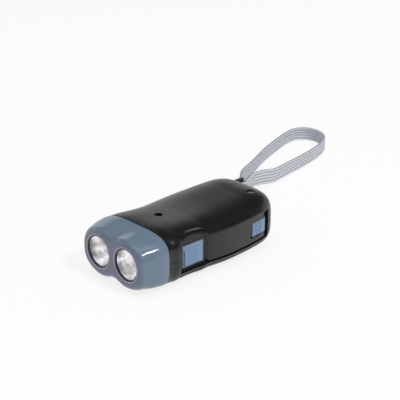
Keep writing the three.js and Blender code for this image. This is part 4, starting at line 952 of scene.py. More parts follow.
def turned(name, profile, middle, sides):
    """Spins a profile of (radius, depth) pairs round an axis that runs back from a lamp's middle."""
    bpy.ops.object.select_all(action="DESELECT")
    bpy.ops.mesh.primitive_plane_add(size=MM)
    piece = bpy.context.active_object
    piece.name = name
    bpy.ops.object.mode_set(mode="EDIT")
    bpy.ops.mesh.delete(type="ONLY_FACE")
    bpy.ops.mesh.select_all(action="SELECT")
    bpy.ops.mesh.merge(type="CENTER")
    leave_edit()
    x, y, z = middle
    piece.data.vertices[0].co = point(x + profile[0][0], y + profile[0][1], z)
    pick(piece, "VERT", lambda *_: True)
    for (r0, d0), (r1, d1) in zip(profile, profile[1:]):
        step = ((r1 - r0) * MM, (d1 - d0) * MM, 0)
        bpy.ops.mesh.extrude_region_move(TRANSFORM_OT_translate={"value": step})
    bpy.ops.mesh.select_all(action="SELECT")
    bpy.ops.mesh.spin(steps=sides, angle=2 * math.pi, center=point(x, y, z), axis=(0, 1, 0))
    leave_edit()
    return tidy_mesh(piece, TURNED_MERGE)


print("Turned points closer than", round(TURNED_MERGE / MM, 4), "mm are merged")

# %% [markdown]
# The lens is a thin disc with a slight crown. The reflector behind it is a deep bowl that widens
# fast from its throat, as a parabola does, with a flange that seats it in the head. It is spun in
# few steps and shaded flat, so that it keeps its facets.

# %% The lens and the reflector
LENS_RECESS = 1.3
LENS_RADIUS = 8.8
LENS_THICKNESS = 1.0
LENS_CROWN = 0.5
LENS_EDGE = 0.12
LENS_SIDES = 64
CROWN_SHARES = np.linspace(0, 0.985, 10)
REFLECTOR_FRONT = 2.6
REFLECTOR_DEPTH = 10.9
REFLECTOR_THROAT = 3.1
REFLECTOR_MOUTH = 8.6
REFLECTOR_FLANGE_RADIUS = 9.7
REFLECTOR_SHELL = 0.8
REFLECTOR_FACETS = 24
BOWL_SHARES = np.linspace(0, 1, 8) ** 1.6
FLANGE_THICKNESS = 1
FLANGE_CLEARANCE = 0.2


def make_lens(name, middle):
    """A slightly crowned disc with a fine edge."""
    back = LENS_RECESS + LENS_THICKNESS
    profile = [(LENS_RADIUS * share, LENS_RECESS + LENS_CROWN * (share**2 - 1)) for share in CROWN_SHARES]
    profile += [(LENS_RADIUS, LENS_RECESS + LENS_EDGE), (LENS_RADIUS, back - LENS_EDGE)]
    profile += [(LENS_RADIUS - LENS_EDGE, back), (0, back)]
    return smooth_by_angle(turned(name, profile, middle, LENS_SIDES), degrees=35)


def make_reflector(name, middle):
    """A bowl with a flange round its mouth. Few sides give it flat facets."""
    flange_back = REFLECTOR_FRONT + FLANGE_THICKNESS
    inside = [
        (
            REFLECTOR_THROAT + (REFLECTOR_MOUTH - REFLECTOR_THROAT) * math.sqrt(share),
            REFLECTOR_FRONT + REFLECTOR_DEPTH * (1 - share),
        )
        for share in BOWL_SHARES
    ]
    flange = [
        (REFLECTOR_FLANGE_RADIUS, REFLECTOR_FRONT), (REFLECTOR_FLANGE_RADIUS, flange_back),
        (REFLECTOR_MOUTH + REFLECTOR_SHELL, flange_back),
    ]
    outside = [
        (radius + REFLECTOR_SHELL, depth)
        for radius, depth in inside[::-1] if depth > flange_back + FLANGE_CLEARANCE
    ]
    profile = inside + flange + outside + [inside[0]]
    return smooth_by_angle(turned(name, profile, middle, REFLECTOR_FACETS), degrees=5)


print("Lens", 2 * LENS_RADIUS, "mm across, reflector", REFLECTOR_DEPTH, "mm deep")

# %% [markdown]
# The LED is a domed drop of resin on a wider foot. The black ring hides the lens's edge, and the bore's rim
# stands out by the width of a hair, because a sharp edge would draw no line of light. The rim's plastic is
# also painted lighter than the head's, a painted highlight.

# %% The LED, the ring and the rim
LED_RADIUS = 2.5
LED_REACH = 5.0
LED_FRONT = REFLECTOR_FRONT + REFLECTOR_DEPTH - LED_REACH
LED_LENGTH = 5.8
LED_FOOT_RISE = 0.3
LED_FOOT_HEIGHT = 0.7
LED_SIDES = 40
DOME_POINTS = 10
BLACK_RING_INNER_RADIUS = 8.35
BLACK_RING_OUTER_RADIUS = LAMP_RADIUS + 0.05
BLACK_RING_FRONT = 0.42
BLACK_RING_EDGE = 0.1
RIM_BEAD = [
    (9.76, 0.08), (9.74, 0), (9.66, -0.04), (9.54, -0.05), (9.42, -0.03), (9.3, 0.04), (9.2, 0.15),
    (9.13, 0.3),
]
RIM_WALL_FRONT = 0.5
RIM_WALL_BACK = 2.25


def make_led(name, middle):
    """A domed resin body on a wider foot."""
    dome_middle = LED_FRONT + LED_RADIUS
    dome = [
        (LED_RADIUS * math.sin(turn), dome_middle - LED_RADIUS * math.cos(turn))
        for turn in np.linspace(0, math.pi / 2, DOME_POINTS)
    ]
    base = LED_FRONT + LED_LENGTH
    back = base + LED_FOOT_HEIGHT
    foot_radius = LED_RADIUS + LED_FOOT_RISE
    foot = [(LED_RADIUS, base), (foot_radius, base), (foot_radius, back), (0, back)]
    return smooth_by_angle(turned(name, dome + foot, middle, LED_SIDES), degrees=35)


def make_black_ring(name, middle):
    """The black ring in front of the lens."""
    inner, outer = BLACK_RING_INNER_RADIUS, BLACK_RING_OUTER_RADIUS
    front, back = BLACK_RING_FRONT, LENS_RECESS
    profile = [(inner, back), (inner, front + BLACK_RING_EDGE), (inner + BLACK_RING_EDGE, front)]
    profile += [(outer, front), (outer, back), (inner, back)]
    return smooth_by_angle(turned(name, profile, middle, LENS_SIDES), degrees=35)


def make_bore_rim(name, middle):
    """A round bead on the bore's edge, with a thin wall that lines the bore behind it."""
    outer = RIM_BEAD[0][0]
    wall = [(LAMP_RADIUS, RIM_WALL_FRONT), (LAMP_RADIUS, RIM_WALL_BACK), (outer, RIM_WALL_BACK), RIM_BEAD[0]]
    return smooth_by_angle(turned(name, RIM_BEAD + wall, middle, LAMP_SIDES), degrees=50)


lamps = {}
for side, lamp_name in ((-1, "left"), (1, "right")):
    lamp_middle = (side * LAMP_X, FRONT_Y, LAMP_Z)
    lamps[lamp_name] = {
        "lens": make_lens(f"lamp_lens_{lamp_name}", lamp_middle),
        "reflector": make_reflector(f"lamp_reflector_{lamp_name}", lamp_middle),
        "led": make_led(f"lamp_led_{lamp_name}", lamp_middle),
        "black_ring": make_black_ring(f"lamp_black_ring_{lamp_name}", lamp_middle),
        "rim": make_bore_rim(f"lamp_rim_{lamp_name}", lamp_middle),
    }
    print(lamp_name, {part: len(piece.data.polygons) for part, piece in lamps[lamp_name].items()})

# %% [markdown]
# The lever, the two sliders and the screws have their real shapes in the CAD, but with sharp edges.
# A moulded edge is always a little round, and that round is what draws a bright line along it. The
# pieces could be modelled again, but a merged copy of each, with its sharp edges bevelled, keeps its
# place and shape. The sliders' faces are finer and come after it.

# %% The moving mouldings
LEVER_ROUNDING = 0.35
SCREW_ROUNDING = 0.08
SHARP_DEGREES = 35


def rounded_copy(name, node, rounding):
    """A merged copy of a CAD node whose sharp edges are rounded."""
    piece = merged_copy(name, node)
    finish_with(
        piece, "BEVEL", width=rounding * MM, segments=2, limit_method="ANGLE",
        angle_limit=math.radians(SHARP_DEGREES), use_clamp_overlap=True, miter_outer="MITER_ARC",
    )
    smooth_by_angle(piece, SHARP_DEGREES)
    finish_with(piece, "WEIGHTED_NORMAL", keep_sharp=True)
    print(name, "faces:", len(piece.data.polygons))
    return piece


lever = rounded_copy("squeeze_lever_moulding", "squeeze_lever", LEVER_ROUNDING)
front_screw = rounded_copy("front_screw_turned", "front_screw", SCREW_ROUNDING)
rear_screw = rounded_copy("rear_screw_turned", "rear_screw", SCREW_ROUNDING)

# %% [markdown]
# The two sliders are gripped by the thumb, so their faces carry the finest forms of the torch: a
# raised pad with grooves on the switch, and ribs before a step on the lock. A rule gives the height
# of each face at any place. A fine grid takes its heights from it, and its border is pulled back to
# a base. The guides behind come from the CAD, cut off where the face's base begins.

# %% A face in relief
BUTTON_STEP = 0.16
BUTTON_EDGE = 0.4


def relief_face(name, y_range, z_range, height, base_x):
    """A moulded face on the switch side whose height is height(y, z)."""
    along = np.linspace(*y_range, round((y_range[1] - y_range[0]) / BUTTON_STEP) + 1)
    upwards = np.linspace(*z_range, round((z_range[1] - z_range[0]) / BUTTON_STEP) + 1)

    def rounded(y, z):
        inside = min(y - y_range[0], y_range[1] - y, z - z_range[0], z_range[1] - z)
        gap = max(BUTTON_EDGE - inside, 0)
        return height(y, z) - BUTTON_EDGE + math.sqrt(BUTTON_EDGE**2 - gap**2)

    face = wrapped_sheet(name, [[(rounded(y, z), y, z) for z in upwards] for y in along])
    edit_all(face, "DESELECT")
    bpy.ops.mesh.select_mode(type="EDGE")
    bpy.ops.mesh.select_non_manifold()
    bpy.ops.mesh.extrude_edges_move()
    leave_edit()
    for vertex in face.data.vertices:
        if vertex.select:
            vertex.co.x = base_x * MM
    return smooth_by_angle(fill_ends(face), degrees=40)


def guides_of(name, node, reach_x):
    """A slider's guides from the CAD, cut off at reach_x."""
    return smooth_by_angle(cut_off(merged_copy(name, node), (reach_x, 0, 0), (1, 0, 0)))


print("Grid of the faces:", BUTTON_STEP, "mm")

# %% [markdown]
# The heights of both faces come from the same two moves: a step that rises over a short run, and a
# groove with a round bottom. They could be cut into a flat face one by one, but as rules they can
# be added up, and each edge gets its own softness.

# %% Steps and grooves
GROOVE_HALF_WIDTH = 0.36
GROOVE_FLAT_SHARE = 0.15
GROOVE_DEPTH = 0.35


def inside_step(place, low, high, run):
    """Rises from 0 to 1 over a short run inside both ends of a range."""
    return smooth_step(0, run, place - low) * smooth_step(0, run, high - place)


def groove_at(place, grooves):
    """How deep in a groove a place is, from 0 to 1."""
    nearest = min(abs(place - groove) for groove in grooves)
    return 1 - smooth_step(GROOVE_FLAT_SHARE * GROOVE_HALF_WIDTH, GROOVE_HALF_WIDTH, nearest)


print("Grooves are", 2 * GROOVE_HALF_WIDTH, "mm wide and", GROOVE_DEPTH, "mm deep")

# %% [markdown]
# The switch has a raised pad with five grooves. The lock lies a little under the body's side: four
# grooves leave ribs between them in its lower part, and a step leads up to its rear part. Each
# slider is its face and its guides, joined.

# %% The sliders
SWITCH_Y = (-22.9, -8.2)
SWITCH_Z = (8.8, 20.9)
SWITCH_FACE_X = 23.9
PAD_RISE = 1.1
PAD_Y = (-22.5, -10.5)
PAD_Z = (10.0, 18.9)
PAD_SLOPE = 0.5
SWITCH_BASE_X = 21.9
SWITCH_GUIDES_X = 22.0
SWITCH_GROOVE_FIRST_Y = -19.8
SWITCH_GROOVE_PITCH = 1.55
SWITCH_GROOVE_COUNT = 5
SWITCH_GROOVES = [SWITCH_GROOVE_FIRST_Y + SWITCH_GROOVE_PITCH * i for i in range(SWITCH_GROOVE_COUNT)]
SWITCH_GROOVE_Z = (10.9, 18.0)
SWITCH_GROOVE_END = 0.4
LOCK_Y = (29.3, 40.9)
LOCK_Z = (10.4, 18.6)
LOCK_INSET = 1.3
LOCK_STEP_Y = 36.3
LOCK_STEP = 0.5
LOCK_STEP_RUN = 0.15
LOCK_BASE_X = 20.5
LOCK_GUIDES_X = 20.6
LOCK_GROOVE_PITCH = 1.3
LOCK_GROOVE_COUNT = 4
LOCK_GROOVES = [LOCK_Y[0] + LOCK_GROOVE_PITCH * (i + 1) for i in range(LOCK_GROOVE_COUNT)]
LOCK_GROOVE_Z = (10.9, 18.1)
LOCK_GROOVE_END = 0.3


def switch_height(y, z):
    """The switch's face: a raised pad with grooves across it."""
    pad = inside_step(y, *PAD_Y, PAD_SLOPE) * inside_step(z, *PAD_Z, PAD_SLOPE)
    groove = groove_at(y, SWITCH_GROOVES) * inside_step(z, *SWITCH_GROOVE_Z, SWITCH_GROOVE_END)
    return SWITCH_FACE_X + PAD_RISE * pad - GROOVE_DEPTH * groove


def lock_height(y, z):
    """The lock's face, sunk under the body's side: ribs with grooves between them, and a step."""
    step = 1 - smooth_step(LOCK_STEP_Y - LOCK_STEP_RUN, LOCK_STEP_Y + LOCK_STEP_RUN, y)
    groove = groove_at(y, LOCK_GROOVES) * inside_step(z, *LOCK_GROOVE_Z, LOCK_GROOVE_END)
    return half_width_at(y) - LOCK_INSET - LOCK_STEP * step - GROOVE_DEPTH * groove


switch_button = joined(
    relief_face("switch_slider_moulding", SWITCH_Y, SWITCH_Z, switch_height, SWITCH_BASE_X),
    guides_of("switch_guides", "switch_slider", SWITCH_GUIDES_X),
)
lock_button = joined(
    relief_face("lock_slider_moulding", LOCK_Y, LOCK_Z, lock_height, LOCK_BASE_X),
    guides_of("lock_guides", "lock_slider", LOCK_GUIDES_X),
)
print("Sliders:", len(switch_button.data.polygons), len(lock_button.data.polygons), "faces")

# %% [markdown]
# Every material here is made of nodes. They could be set up one by one, but the same few kinds come
# back all the time, so each kind has a helper: a noise on the piece's own coordinates, a mix of two
# colours, a change from one value to another, plain arithmetic, and a bump. All of them rest on one
# helper that makes a node and feeds its inputs. Colours are given as they look on a screen.

# %% Helpers for materials
def linear(red, green, blue):
    """A colour as it looks on a screen, from 0 to 255, as Blender's linear colour."""
    def one(value):
        share = value / 255
        return share / 12.92 if share <= 0.04045 else ((share + 0.055) / 1.055) ** 2.4

    return (one(red), one(green), one(blue), 1)


def material_with(name, **sockets):
    """A new material whose shader has these values."""
    material = bpy.data.materials.new(name)
    material.use_nodes = True
    shader = material.node_tree.nodes["Principled BSDF"]
    for socket, value in sockets.items():
        shader.inputs[socket.replace("_", " ")].default_value = value
    return material, material.node_tree, shader


def new_node(tree, kind, inputs, **settings):
    """A new node with these settings. Each of its inputs gets a plain value or another node's output."""
    node = tree.nodes.new(kind)
    for setting, value in settings.items():
        setattr(node, setting, value)
    for socket, source in inputs.items():
        if isinstance(source, bpy.types.NodeSocket):
            tree.links.new(source, node.inputs[socket])
        else:
            node.inputs[socket].default_value = source
    return node


def noise_in(tree, scale, detail, roughness=0.5):
    """A noise on a piece's own coordinates."""
    places = tree.nodes.new("ShaderNodeTexCoord").outputs["Object"]
    inputs = {"Vector": places, "Scale": scale, "Detail": detail, "Roughness": roughness}
    return new_node(tree, "ShaderNodeTexNoise", inputs).outputs["Fac"]


def mixed(tree, factor, first, second):
    """A colour between two."""
    inputs = {"Factor": factor, "A": first, "B": second}
    return new_node(tree, "ShaderNodeMix", inputs, data_type="RGBA").outputs["Result"]


def changed(tree, value, low, high, start=0, end=1, change="SMOOTHSTEP"):
    """Start below a low value, end above a high one, and a smooth or even change in between."""
    inputs = {"Value": value, "From Min": low, "From Max": high, "To Min": start, "To Max": end}
    return new_node(tree, "ShaderNodeMapRange", inputs, interpolation_type=change).outputs["Result"]


def reckoned(tree, operation, first, second=0.0):
    """The result of one step of arithmetic."""
    return new_node(tree, "ShaderNodeMath", {0: first, 1: second}, operation=operation).outputs["Value"]


def give_bump(tree, shader, height, strength, distance):
    """Lets a height stand out in a material's surface."""
    relief = new_node(tree, "ShaderNodeBump", {"Height": height, "Strength": strength, "Distance": distance})
    tree.links.new(relief.outputs["Normal"], shader.inputs["Normal"])


print("Mid grey on the screen is", round(linear(128, 128, 128)[0], 3), "in linear light")

# %% [markdown]
# Every moulded piece of the torch has a fine grain, and its gloss changes a little where it was
# handled. Each material could have its own noises, but finishes that share a grain share a node
# group. A group only puts out values: the shader itself stays in each material. The recipe puts the
# grain in the bump, and the smudges in the colour and the roughness. The metals use it too.

# %% The grain and the finishes' recipe
GRAIN_SCALE = 900.0
SMUDGE_SCALE = 60.0
GRAIN_DEPTH = 0.02 * MM


def effect_group(name, inputs, outputs):
    """A new node group with float inputs and the given outputs."""
    group = bpy.data.node_groups.new(name, "ShaderNodeTree")
    for socket, value in inputs.items():
        made = group.interface.new_socket(name=socket, in_out="INPUT", socket_type="NodeSocketFloat")
        made.default_value = value
    for socket in outputs:
        group.interface.new_socket(name=socket, in_out="OUTPUT", socket_type="NodeSocketFloat")
    return group, group.nodes.new("NodeGroupInput"), group.nodes.new("NodeGroupOutput")


moulded_grain, entry, leave = effect_group(
    "moulded_grain", {"Scale": GRAIN_SCALE, "Wear Scale": SMUDGE_SCALE}, ["Grain", "Smudge"],
)
grain = noise_in(moulded_grain, entry.outputs["Scale"], detail=3)
smudge = noise_in(moulded_grain, entry.outputs["Wear Scale"], detail=4, roughness=0.6)
moulded_grain.links.new(grain, leave.inputs["Grain"])
moulded_grain.links.new(smudge, leave.inputs["Smudge"])


def grained(name, light, dark, roughness, spread, bump, scale=GRAIN_SCALE, wear=SMUDGE_SCALE, **sockets):
    """A finish with a fine grain in its surface, and a slow change of gloss where it is handled."""
    material, tree, shader = material_with(name, **sockets)
    effect = new_node(tree, "ShaderNodeGroup", {"Scale": scale, "Wear Scale": wear}, node_tree=moulded_grain)
    smudges = effect.outputs["Smudge"]
    tree.links.new(mixed(tree, smudges, linear(*dark), linear(*light)), shader.inputs["Base Color"])
    gloss = changed(tree, smudges, 0, 1, roughness - spread, roughness + spread, "LINEAR")
    tree.links.new(gloss, shader.inputs["Roughness"])
    give_bump(tree, shader, effect.outputs["Grain"], bump, GRAIN_DEPTH)
    return material


print("Shared effect:", moulded_grain.name, "with", len(moulded_grain.nodes), "nodes")

# %% [markdown]
# The body is satin black, the head a glossier grey blue, and the sliders a lighter and duller blue.
# Each has a lighter and a darker colour, a roughness and how far it varies, and the strength of its
# grain. The pieces inside get the plain plastics and metals of their kind.

# %% The plastics and the metals
black_satin = grained("black_satin", (27, 27, 29), (21, 21, 23), 0.27, 0.04, 0.1)
black_inside = grained("black_inside", (34, 34, 36), (26, 26, 28), 0.5, 0.05, 0.3)
head_gloss = grained("head_gloss", (110, 128, 145), (105, 123, 140), 0.12, 0.02, 0.05)
# Painted highlight: the bore's rim is a lighter copy of the head's plastic.
rim_painted_highlight = grained("rim_painted_highlight", (168, 170, 188), (160, 162, 180), 0.15, 0.02, 0.05)
button_satin = grained("button_satin", (124, 148, 176), (117, 141, 169), 0.35, 0.05, 0.2)
black_ring_plastic = grained("black_ring_plastic", (24, 24, 26), (18, 18, 20), 0.4, 0.05, 0.2)
gear_white = grained("gear_white", (232, 228, 216), (222, 217, 203), 0.45, 0.05, 0.2)
part_black = grained("part_black", (38, 40, 46), (28, 30, 36), 0.4, 0.05, 0.3)
wire_red = grained("wire_red", (176, 50, 44), (160, 42, 38), 0.45, 0.05, 0.2)
wire_blue = grained("wire_blue", (52, 86, 158), (44, 76, 144), 0.45, 0.05, 0.2)
board_green = grained("board_green", (50, 112, 72), (42, 98, 62), 0.4, 0.06, 0.3, scale=600.0, wear=120.0)
magnet_dark = grained("magnet_dark", (84, 84, 88), (70, 70, 74), 0.45, 0.06, 0.4)
steel_bright = grained("steel_bright", (196, 199, 205), (178, 181, 188), 0.28, 0.08, 0.2, Metallic=1.0)
spring_steel = grained("spring_steel", (206, 208, 212), (186, 188, 194), 0.25, 0.06, 0.2, Metallic=1.0)
core_steel = grained("core_steel", (138, 140, 146), (122, 124, 130), 0.4, 0.08, 0.5, Metallic=0.9)
coil_copper = grained("coil_copper", (196, 120, 74), (168, 96, 56), 0.32, 0.06, 0.6, Metallic=0.9)
cell_can = grained("cell_can", (212, 214, 218), (196, 198, 204), 0.22, 0.06, 0.2, Metallic=1.0)
print("Plastics and metals:", len(bpy.data.materials))

# %% [markdown]
# The head's front face is tinted a little darker and more violet than its sides. A second material on those
# faces would end in a hard line, so the head's own colour is mixed with a tint by its place.

# %% The head's front
FRONT_TINT = (106, 113, 136)
FRONT_TINT_DEPTH = 1.4


def shade_front(material, tint, depth):
    """Mixes a tint into the colour of what lies within a depth of the torch's front."""
    tree = material.node_tree
    shader = tree.nodes["Principled BSDF"]
    coordinates = tree.nodes.new("ShaderNodeTexCoord")
    places = new_node(tree, "ShaderNodeSeparateXYZ", {"Vector": coordinates.outputs["Object"]})
    front, back = point(0, FRONT_Y, 0).y, point(0, FRONT_Y + depth, 0).y
    behind = changed(tree, places.outputs["Y"], front, back)
    plain = shader.inputs["Base Color"].links[0].from_socket
    tree.links.new(mixed(tree, behind, tint, plain), shader.inputs["Base Color"])


shade_front(head_gloss, linear(*FRONT_TINT), FRONT_TINT_DEPTH)
print("Front tint over", FRONT_TINT_DEPTH, "mm")

# %% [markdown]
# The lens and the LED are clear. The lens lets most light straight through, so that the reflector behind it
# keeps its shine. The reflector is bright metal in small petals that throw the light about. Modelling each
# petal would take thousands of faces, so a noise dents the surface and paints some petals darker and others
# brighter, a painted reflection. The same colours glow faintly: a painted glow that stands in for the bright
# room that they mirror.

# %% The lamps' finishes
PETAL_SCALE = 210.0
PETAL_EDGES = (0.4, 0.6)
PETAL_DEPTH = 0.4 * MM
PETAL_PAINTED_DARK = (150, 152, 146)
PETAL_PAINTED_BRIGHT = (255, 250, 255)

clear_lens, _, _ = material_with(
    "clear_lens", Base_Color=linear(250, 251, 255), Roughness=0.02, IOR=1.49,
    Transmission_Weight=1.0, Alpha=0.4,
)
clear_resin, _, _ = material_with(
    "clear_resin", Base_Color=linear(250, 248, 255), Roughness=0.08, IOR=1.5, Transmission_Weight=0.35,
)
# Painted glow: the reflector glows faintly in its petals' colours, though it is no lamp.
reflector_bright, tree, shader = material_with(
    "reflector_bright", Roughness=0.2, Metallic=0.5, Emission_Strength=0.5,
)
petals = noise_in(tree, PETAL_SCALE, detail=1.5)
# Painted reflection: the noise paints some petals darker and some brighter, and these colours also glow.
petal_painted_reflection = mixed(tree, changed(tree, petals, *PETAL_EDGES), linear(*PETAL_PAINTED_DARK), linear(*PETAL_PAINTED_BRIGHT))
tree.links.new(petal_painted_reflection, shader.inputs["Base Color"])
tree.links.new(petal_painted_reflection, shader.inputs["Emission Color"])
give_bump(tree, shader, petals, strength=0.6, distance=PETAL_DEPTH)
print("Reflector nodes:", len(tree.nodes))

# %% [markdown]
# The strap is woven nylon: bright ribs along the band, painted shade in the grooves between them, and fine
# yarns across. A picture of cloth would stretch in the bends, so the weave is drawn on the band's own UV map,
# whose U runs along the band and whose V runs once round its section.

# %% The strap's weave
STRAP_YARNS = 230
RIB_SHADE_POWER = 0.7
YARN_DEPTH = 0.12 * MM
YARN_DARK = (190, 192, 201)
YARN_BRIGHT = (224, 226, 235)
STRAP_GROOVE_PAINTED_SHADE = (104, 108, 116)


def ribs_and_yarns():
    """How much a place lies on a rib and not in the groove beside it, and the yarns that cross it."""
    group, entry, leave = effect_group("ribs_and_yarns", {"Across": 0.0, "Along": 0.0}, ["Rib", "Yarn"])

    def waves(socket, count):
        turns = reckoned(group, "MULTIPLY", entry.outputs[socket], 2 * math.pi * count)
        return reckoned(group, "ABSOLUTE", reckoned(group, "SINE", turns))

    rib = reckoned(group, "POWER", waves("Across", STRAP_RIBS), RIB_SHADE_POWER)
    group.links.new(rib, leave.inputs["Rib"])
    group.links.new(waves("Along", STRAP_YARNS), leave.inputs["Yarn"])
    return group


strap_weave, tree, shader = material_with("strap_weave", Roughness=0.75, Sheen_Weight=0.2)
band_map = tree.nodes.new("ShaderNodeUVMap")
band_places = new_node(tree, "ShaderNodeSeparateXYZ", {"Vector": band_map.outputs["UV"]})
weave_places = {"Along": band_places.outputs["X"], "Across": band_places.outputs["Y"]}
weave = new_node(tree, "ShaderNodeGroup", weave_places, node_tree=ribs_and_yarns())
yarn_colour = mixed(tree, weave.outputs["Yarn"], linear(*YARN_DARK), linear(*YARN_BRIGHT))
# Painted shade: the grooves between the ribs are painted dark.
strap_colour_with_painted_shade = mixed(tree, weave.outputs["Rib"], linear(*STRAP_GROOVE_PAINTED_SHADE), yarn_colour)
tree.links.new(strap_colour_with_painted_shade, shader.inputs["Base Color"])
give_bump(tree, shader, weave.outputs["Yarn"], strength=0.6, distance=YARN_DEPTH)
print("Weave nodes:", len(tree.nodes))

# %% [markdown]
# Every piece rides on the CAD body that carries it and hides the CAD node that it stands for. One table of
# rows keeps all of that in one place, with each piece's material and the material slot of the record that it
# takes its finish from. The CAD nodes that stay get a finish of their own kind.

# %% Riding and finishing
def dress(piece, material):
    """Gives a piece one material alone."""
    piece.data.materials.clear()
    piece.data.materials.append(material)


PIECES = [
    (upper_shell, "housing", "upper_housing", black_satin, "black_plastic"),
    (lower_shell, "housing", "lower_housing", black_satin, "black_plastic"),
    (upper_posts, "housing", None, black_inside, "black_plastic"),
    (lower_posts, "housing", None, black_inside, "black_plastic"),
    (switch_panel, "housing", None, black_inside, "black_plastic"),
    (strap_lug, "housing", None, black_satin, "black_plastic"),
    (lamp_head, "housing", "lamp_head", head_gloss, "head_plastic"),
    (lever, "lever", "squeeze_lever", black_satin, "grey_plastic"),
    (switch_button, "switch", "switch_slider", button_satin, "button_plastic"),
    (lock_button, "lock", "lock_slider", button_satin, "button_plastic"),
    (front_screw, "housing", "front_screw", steel_bright, "steel"),
    (rear_screw, "housing", "rear_screw", steel_bright, "steel"),
    (strap, "housing", ("wrist_strap", "strap_fold"), strap_weave, "strap_fabric"),
]
for lamp_name, parts in lamps.items():
    PIECES += [
        (parts["lens"], "housing", f"lens_{lamp_name}", clear_lens, "clear_lens"),
        (parts["reflector"], "housing", f"reflector_{lamp_name}", reflector_bright, "reflector_metal"),
        (parts["led"], "housing", f"led_{lamp_name}", clear_resin, "led_resin"),
        (parts["black_ring"], "housing", None, black_ring_plastic, "black_plastic"),
        (parts["rim"], "housing", None, rim_painted_highlight, "head_plastic"),
    ]
for piece, body, node, material, slot in PIECES:
    dress(piece, material)
    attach(piece, body)
    if node:
        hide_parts(*([node] if isinstance(node, str) else node))

NODE_FINISHES = {
    "led_board": board_green, "rectifier_board": board_green, "capacitor": part_black,
    "switch_body": part_black, "switch_knob": part_black, "lever_pin": steel_bright,
    "return_spring": spring_steel, "first_gear": gear_white, "second_gear": gear_white,
    "first_gear_axle": steel_bright, "second_gear_axle": steel_bright,
    "rotor_shaft": steel_bright, "flywheel": core_steel, "ring_magnet": magnet_dark,
    "stator_core": core_steel, "stator_coil": coil_copper,
    "button_cell_1": cell_can, "button_cell_2": cell_can, "button_cell_3": cell_can,
    "coil_wire": wire_red, "battery_wire": wire_red, "lamp_wire": wire_blue, "switch_wire": wire_blue,
}
for node, material in NODE_FINISHES.items():
    for material_slot in frame["nodes"][node].material_slots:
        material_slot.material = material
print("Pieces:", len(PIECES), "CAD nodes with a finish:", len(NODE_FINISHES))

# %% [markdown]

# %% [markdown]
# The torch lies on a plain white table in a white studio. A real one would be lit by soft boxes and
# by a white backdrop: a small bright box at the right draws the fine lines on the rounded edges, a
# wide one above fills in, and the backdrop behind gives the roof its sheen. The table and the
# backdrop are seen as white by the camera and in clear and shiny things, while the light that they
# give stays at a plain level. A light path tells these rays apart.

# %% Light paths
def seen_rays(tree):
    """1 for rays that come from the camera, from a shiny surface or through a clear one, else 0."""
    light_path = tree.nodes.new("ShaderNodeLightPath")
    seen = light_path.outputs["Is Camera Ray"]
    for ray in ("Is Glossy Ray", "Is Transmission Ray"):
        seen = reckoned(tree, "MAXIMUM", seen, light_path.outputs[ray])
    return light_path, seen


print("Rays that see the background: camera, glossy and transmission rays")

# %% [markdown]
# The table is one large white plane just under the torch. It keeps the torch's shadow, so it isn't
# all glow: most of what the camera sees of it is plain white, and the rest is lit as paper is.

# %% The table
TABLE_GLOW_SHARE = 0.82
TABLE_SIZE = 6
TABLE_TOP_Z = -0.2 * MM
TABLE_LINEAR_WHITE = (0.93, 0.93, 0.94, 1)

bpy.ops.object.select_all(action="DESELECT")
bpy.ops.mesh.primitive_plane_add(size=TABLE_SIZE, location=(0, 0, TABLE_TOP_Z))
table = settle(bpy.context.active_object)
table.name = "table"
table_white, tree, shader = material_with("table_white", Base_Color=TABLE_LINEAR_WHITE, Roughness=0.9)
_, seen = seen_rays(tree)
glow = tree.nodes.new("ShaderNodeEmission")
blend = new_node(tree, "ShaderNodeMixShader", {
    "Fac": reckoned(tree, "MULTIPLY", seen, TABLE_GLOW_SHARE),
    1: shader.outputs["BSDF"],
    2: glow.outputs["Emission"],
})
tree.links.new(blend.outputs["Shader"], tree.nodes["Material Output"].inputs["Surface"])
dress(table, table_white)
print("Table:", TABLE_SIZE, "m wide")

# %% [markdown]
# A lamp's place is easiest to give as a photographer would: how far round, how high, and how far
# away. Its size sets how soft its shadow and how wide its reflection is.

# %% The lamps of the studio
def soft_lamp(name, azimuth, elevation, distance, size, power):
    """A soft box that faces the torch, with both angles in degrees."""
    away = way_from(math.radians(azimuth), math.radians(elevation))
    bpy.ops.object.light_add(type="AREA", location=away * distance)
    lamp = bpy.context.active_object
    lamp.name = name
    lamp.rotation_euler = away.to_track_quat("Z", "Y").to_euler()
    lamp.data.shape = "RECTANGLE"
    lamp.data.size, lamp.data.size_y = size
    lamp.data.energy = power
    return lamp


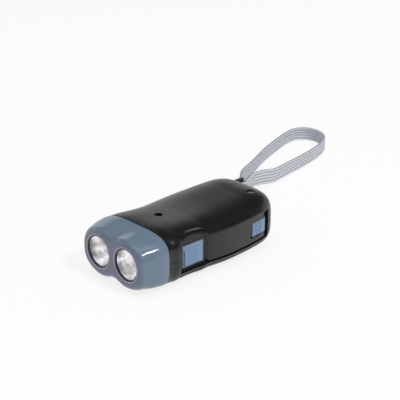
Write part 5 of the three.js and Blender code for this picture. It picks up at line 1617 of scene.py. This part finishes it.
soft_lamp("softbox_right", azimuth=97, elevation=51, distance=2.2, size=(0.42, 0.3), power=20)
soft_lamp("softbox_top", azimuth=20, elevation=80, distance=2.6, size=(2.2, 2.2), power=16)
print("Lamps:", len(bpy.data.lights))

# %% [markdown]
# The room around is white to the camera. A glossy torch would mirror a room that is white all over,
# and look pale. In a real studio it mirrors a dim room and one white backdrop. So glossy rays see
# the backdrop only behind the torch and near the table, and it fades into the dim room above.

# %% The white surroundings
AMBIENT = 0.45
ROOM_WHITE = 0.05
BACKDROP_WHITE = 0.85
BACKDROP_WAY = (-0.82, 0.57, 0)
BACKDROP_TOP = (0.28, 0.58)
BACKDROP_SIDES = (-0.1, 0.35)

world = bpy.data.worlds.new("studio")
bpy.context.scene.world = world
world.use_nodes = True
tree = world.node_tree
surroundings = tree.nodes["Background"]
surroundings.inputs["Color"].default_value = (1, 1, 1, 1)
surroundings.inputs["Strength"].default_value = AMBIENT
light_path, seen = seen_rays(tree)
direction = tree.nodes.new("ShaderNodeTexCoord").outputs["Generated"]
height = new_node(tree, "ShaderNodeSeparateXYZ", {"Vector": direction}).outputs["Z"]
behind = new_node(tree, "ShaderNodeVectorMath", {0: direction, 1: BACKDROP_WAY}, operation="DOT_PRODUCT")
below_top = changed(tree, height, *BACKDROP_TOP, 1, 0)
between_sides = changed(tree, behind.outputs["Value"], *BACKDROP_SIDES)
card = reckoned(tree, "MULTIPLY", below_top, between_sides)
white_share = new_node(tree, "ShaderNodeMix", {
    "Factor": light_path.outputs["Is Glossy Ray"],
    "A": 1,
    "B": changed(tree, card, 0, 1, ROOM_WHITE, BACKDROP_WHITE),
})
backdrop = new_node(tree, "ShaderNodeBackground", {"Color": white_share.outputs["Result"]})
choice = new_node(tree, "ShaderNodeMixShader", {
    "Fac": seen,
    1: surroundings.outputs["Background"],
    2: backdrop.outputs["Background"],
})
tree.links.new(choice.outputs["Shader"], tree.nodes["World Output"].inputs["Surface"])
bpy.context.scene.view_settings.view_transform = "Standard"
print("Surroundings:", len(tree.nodes), "nodes")
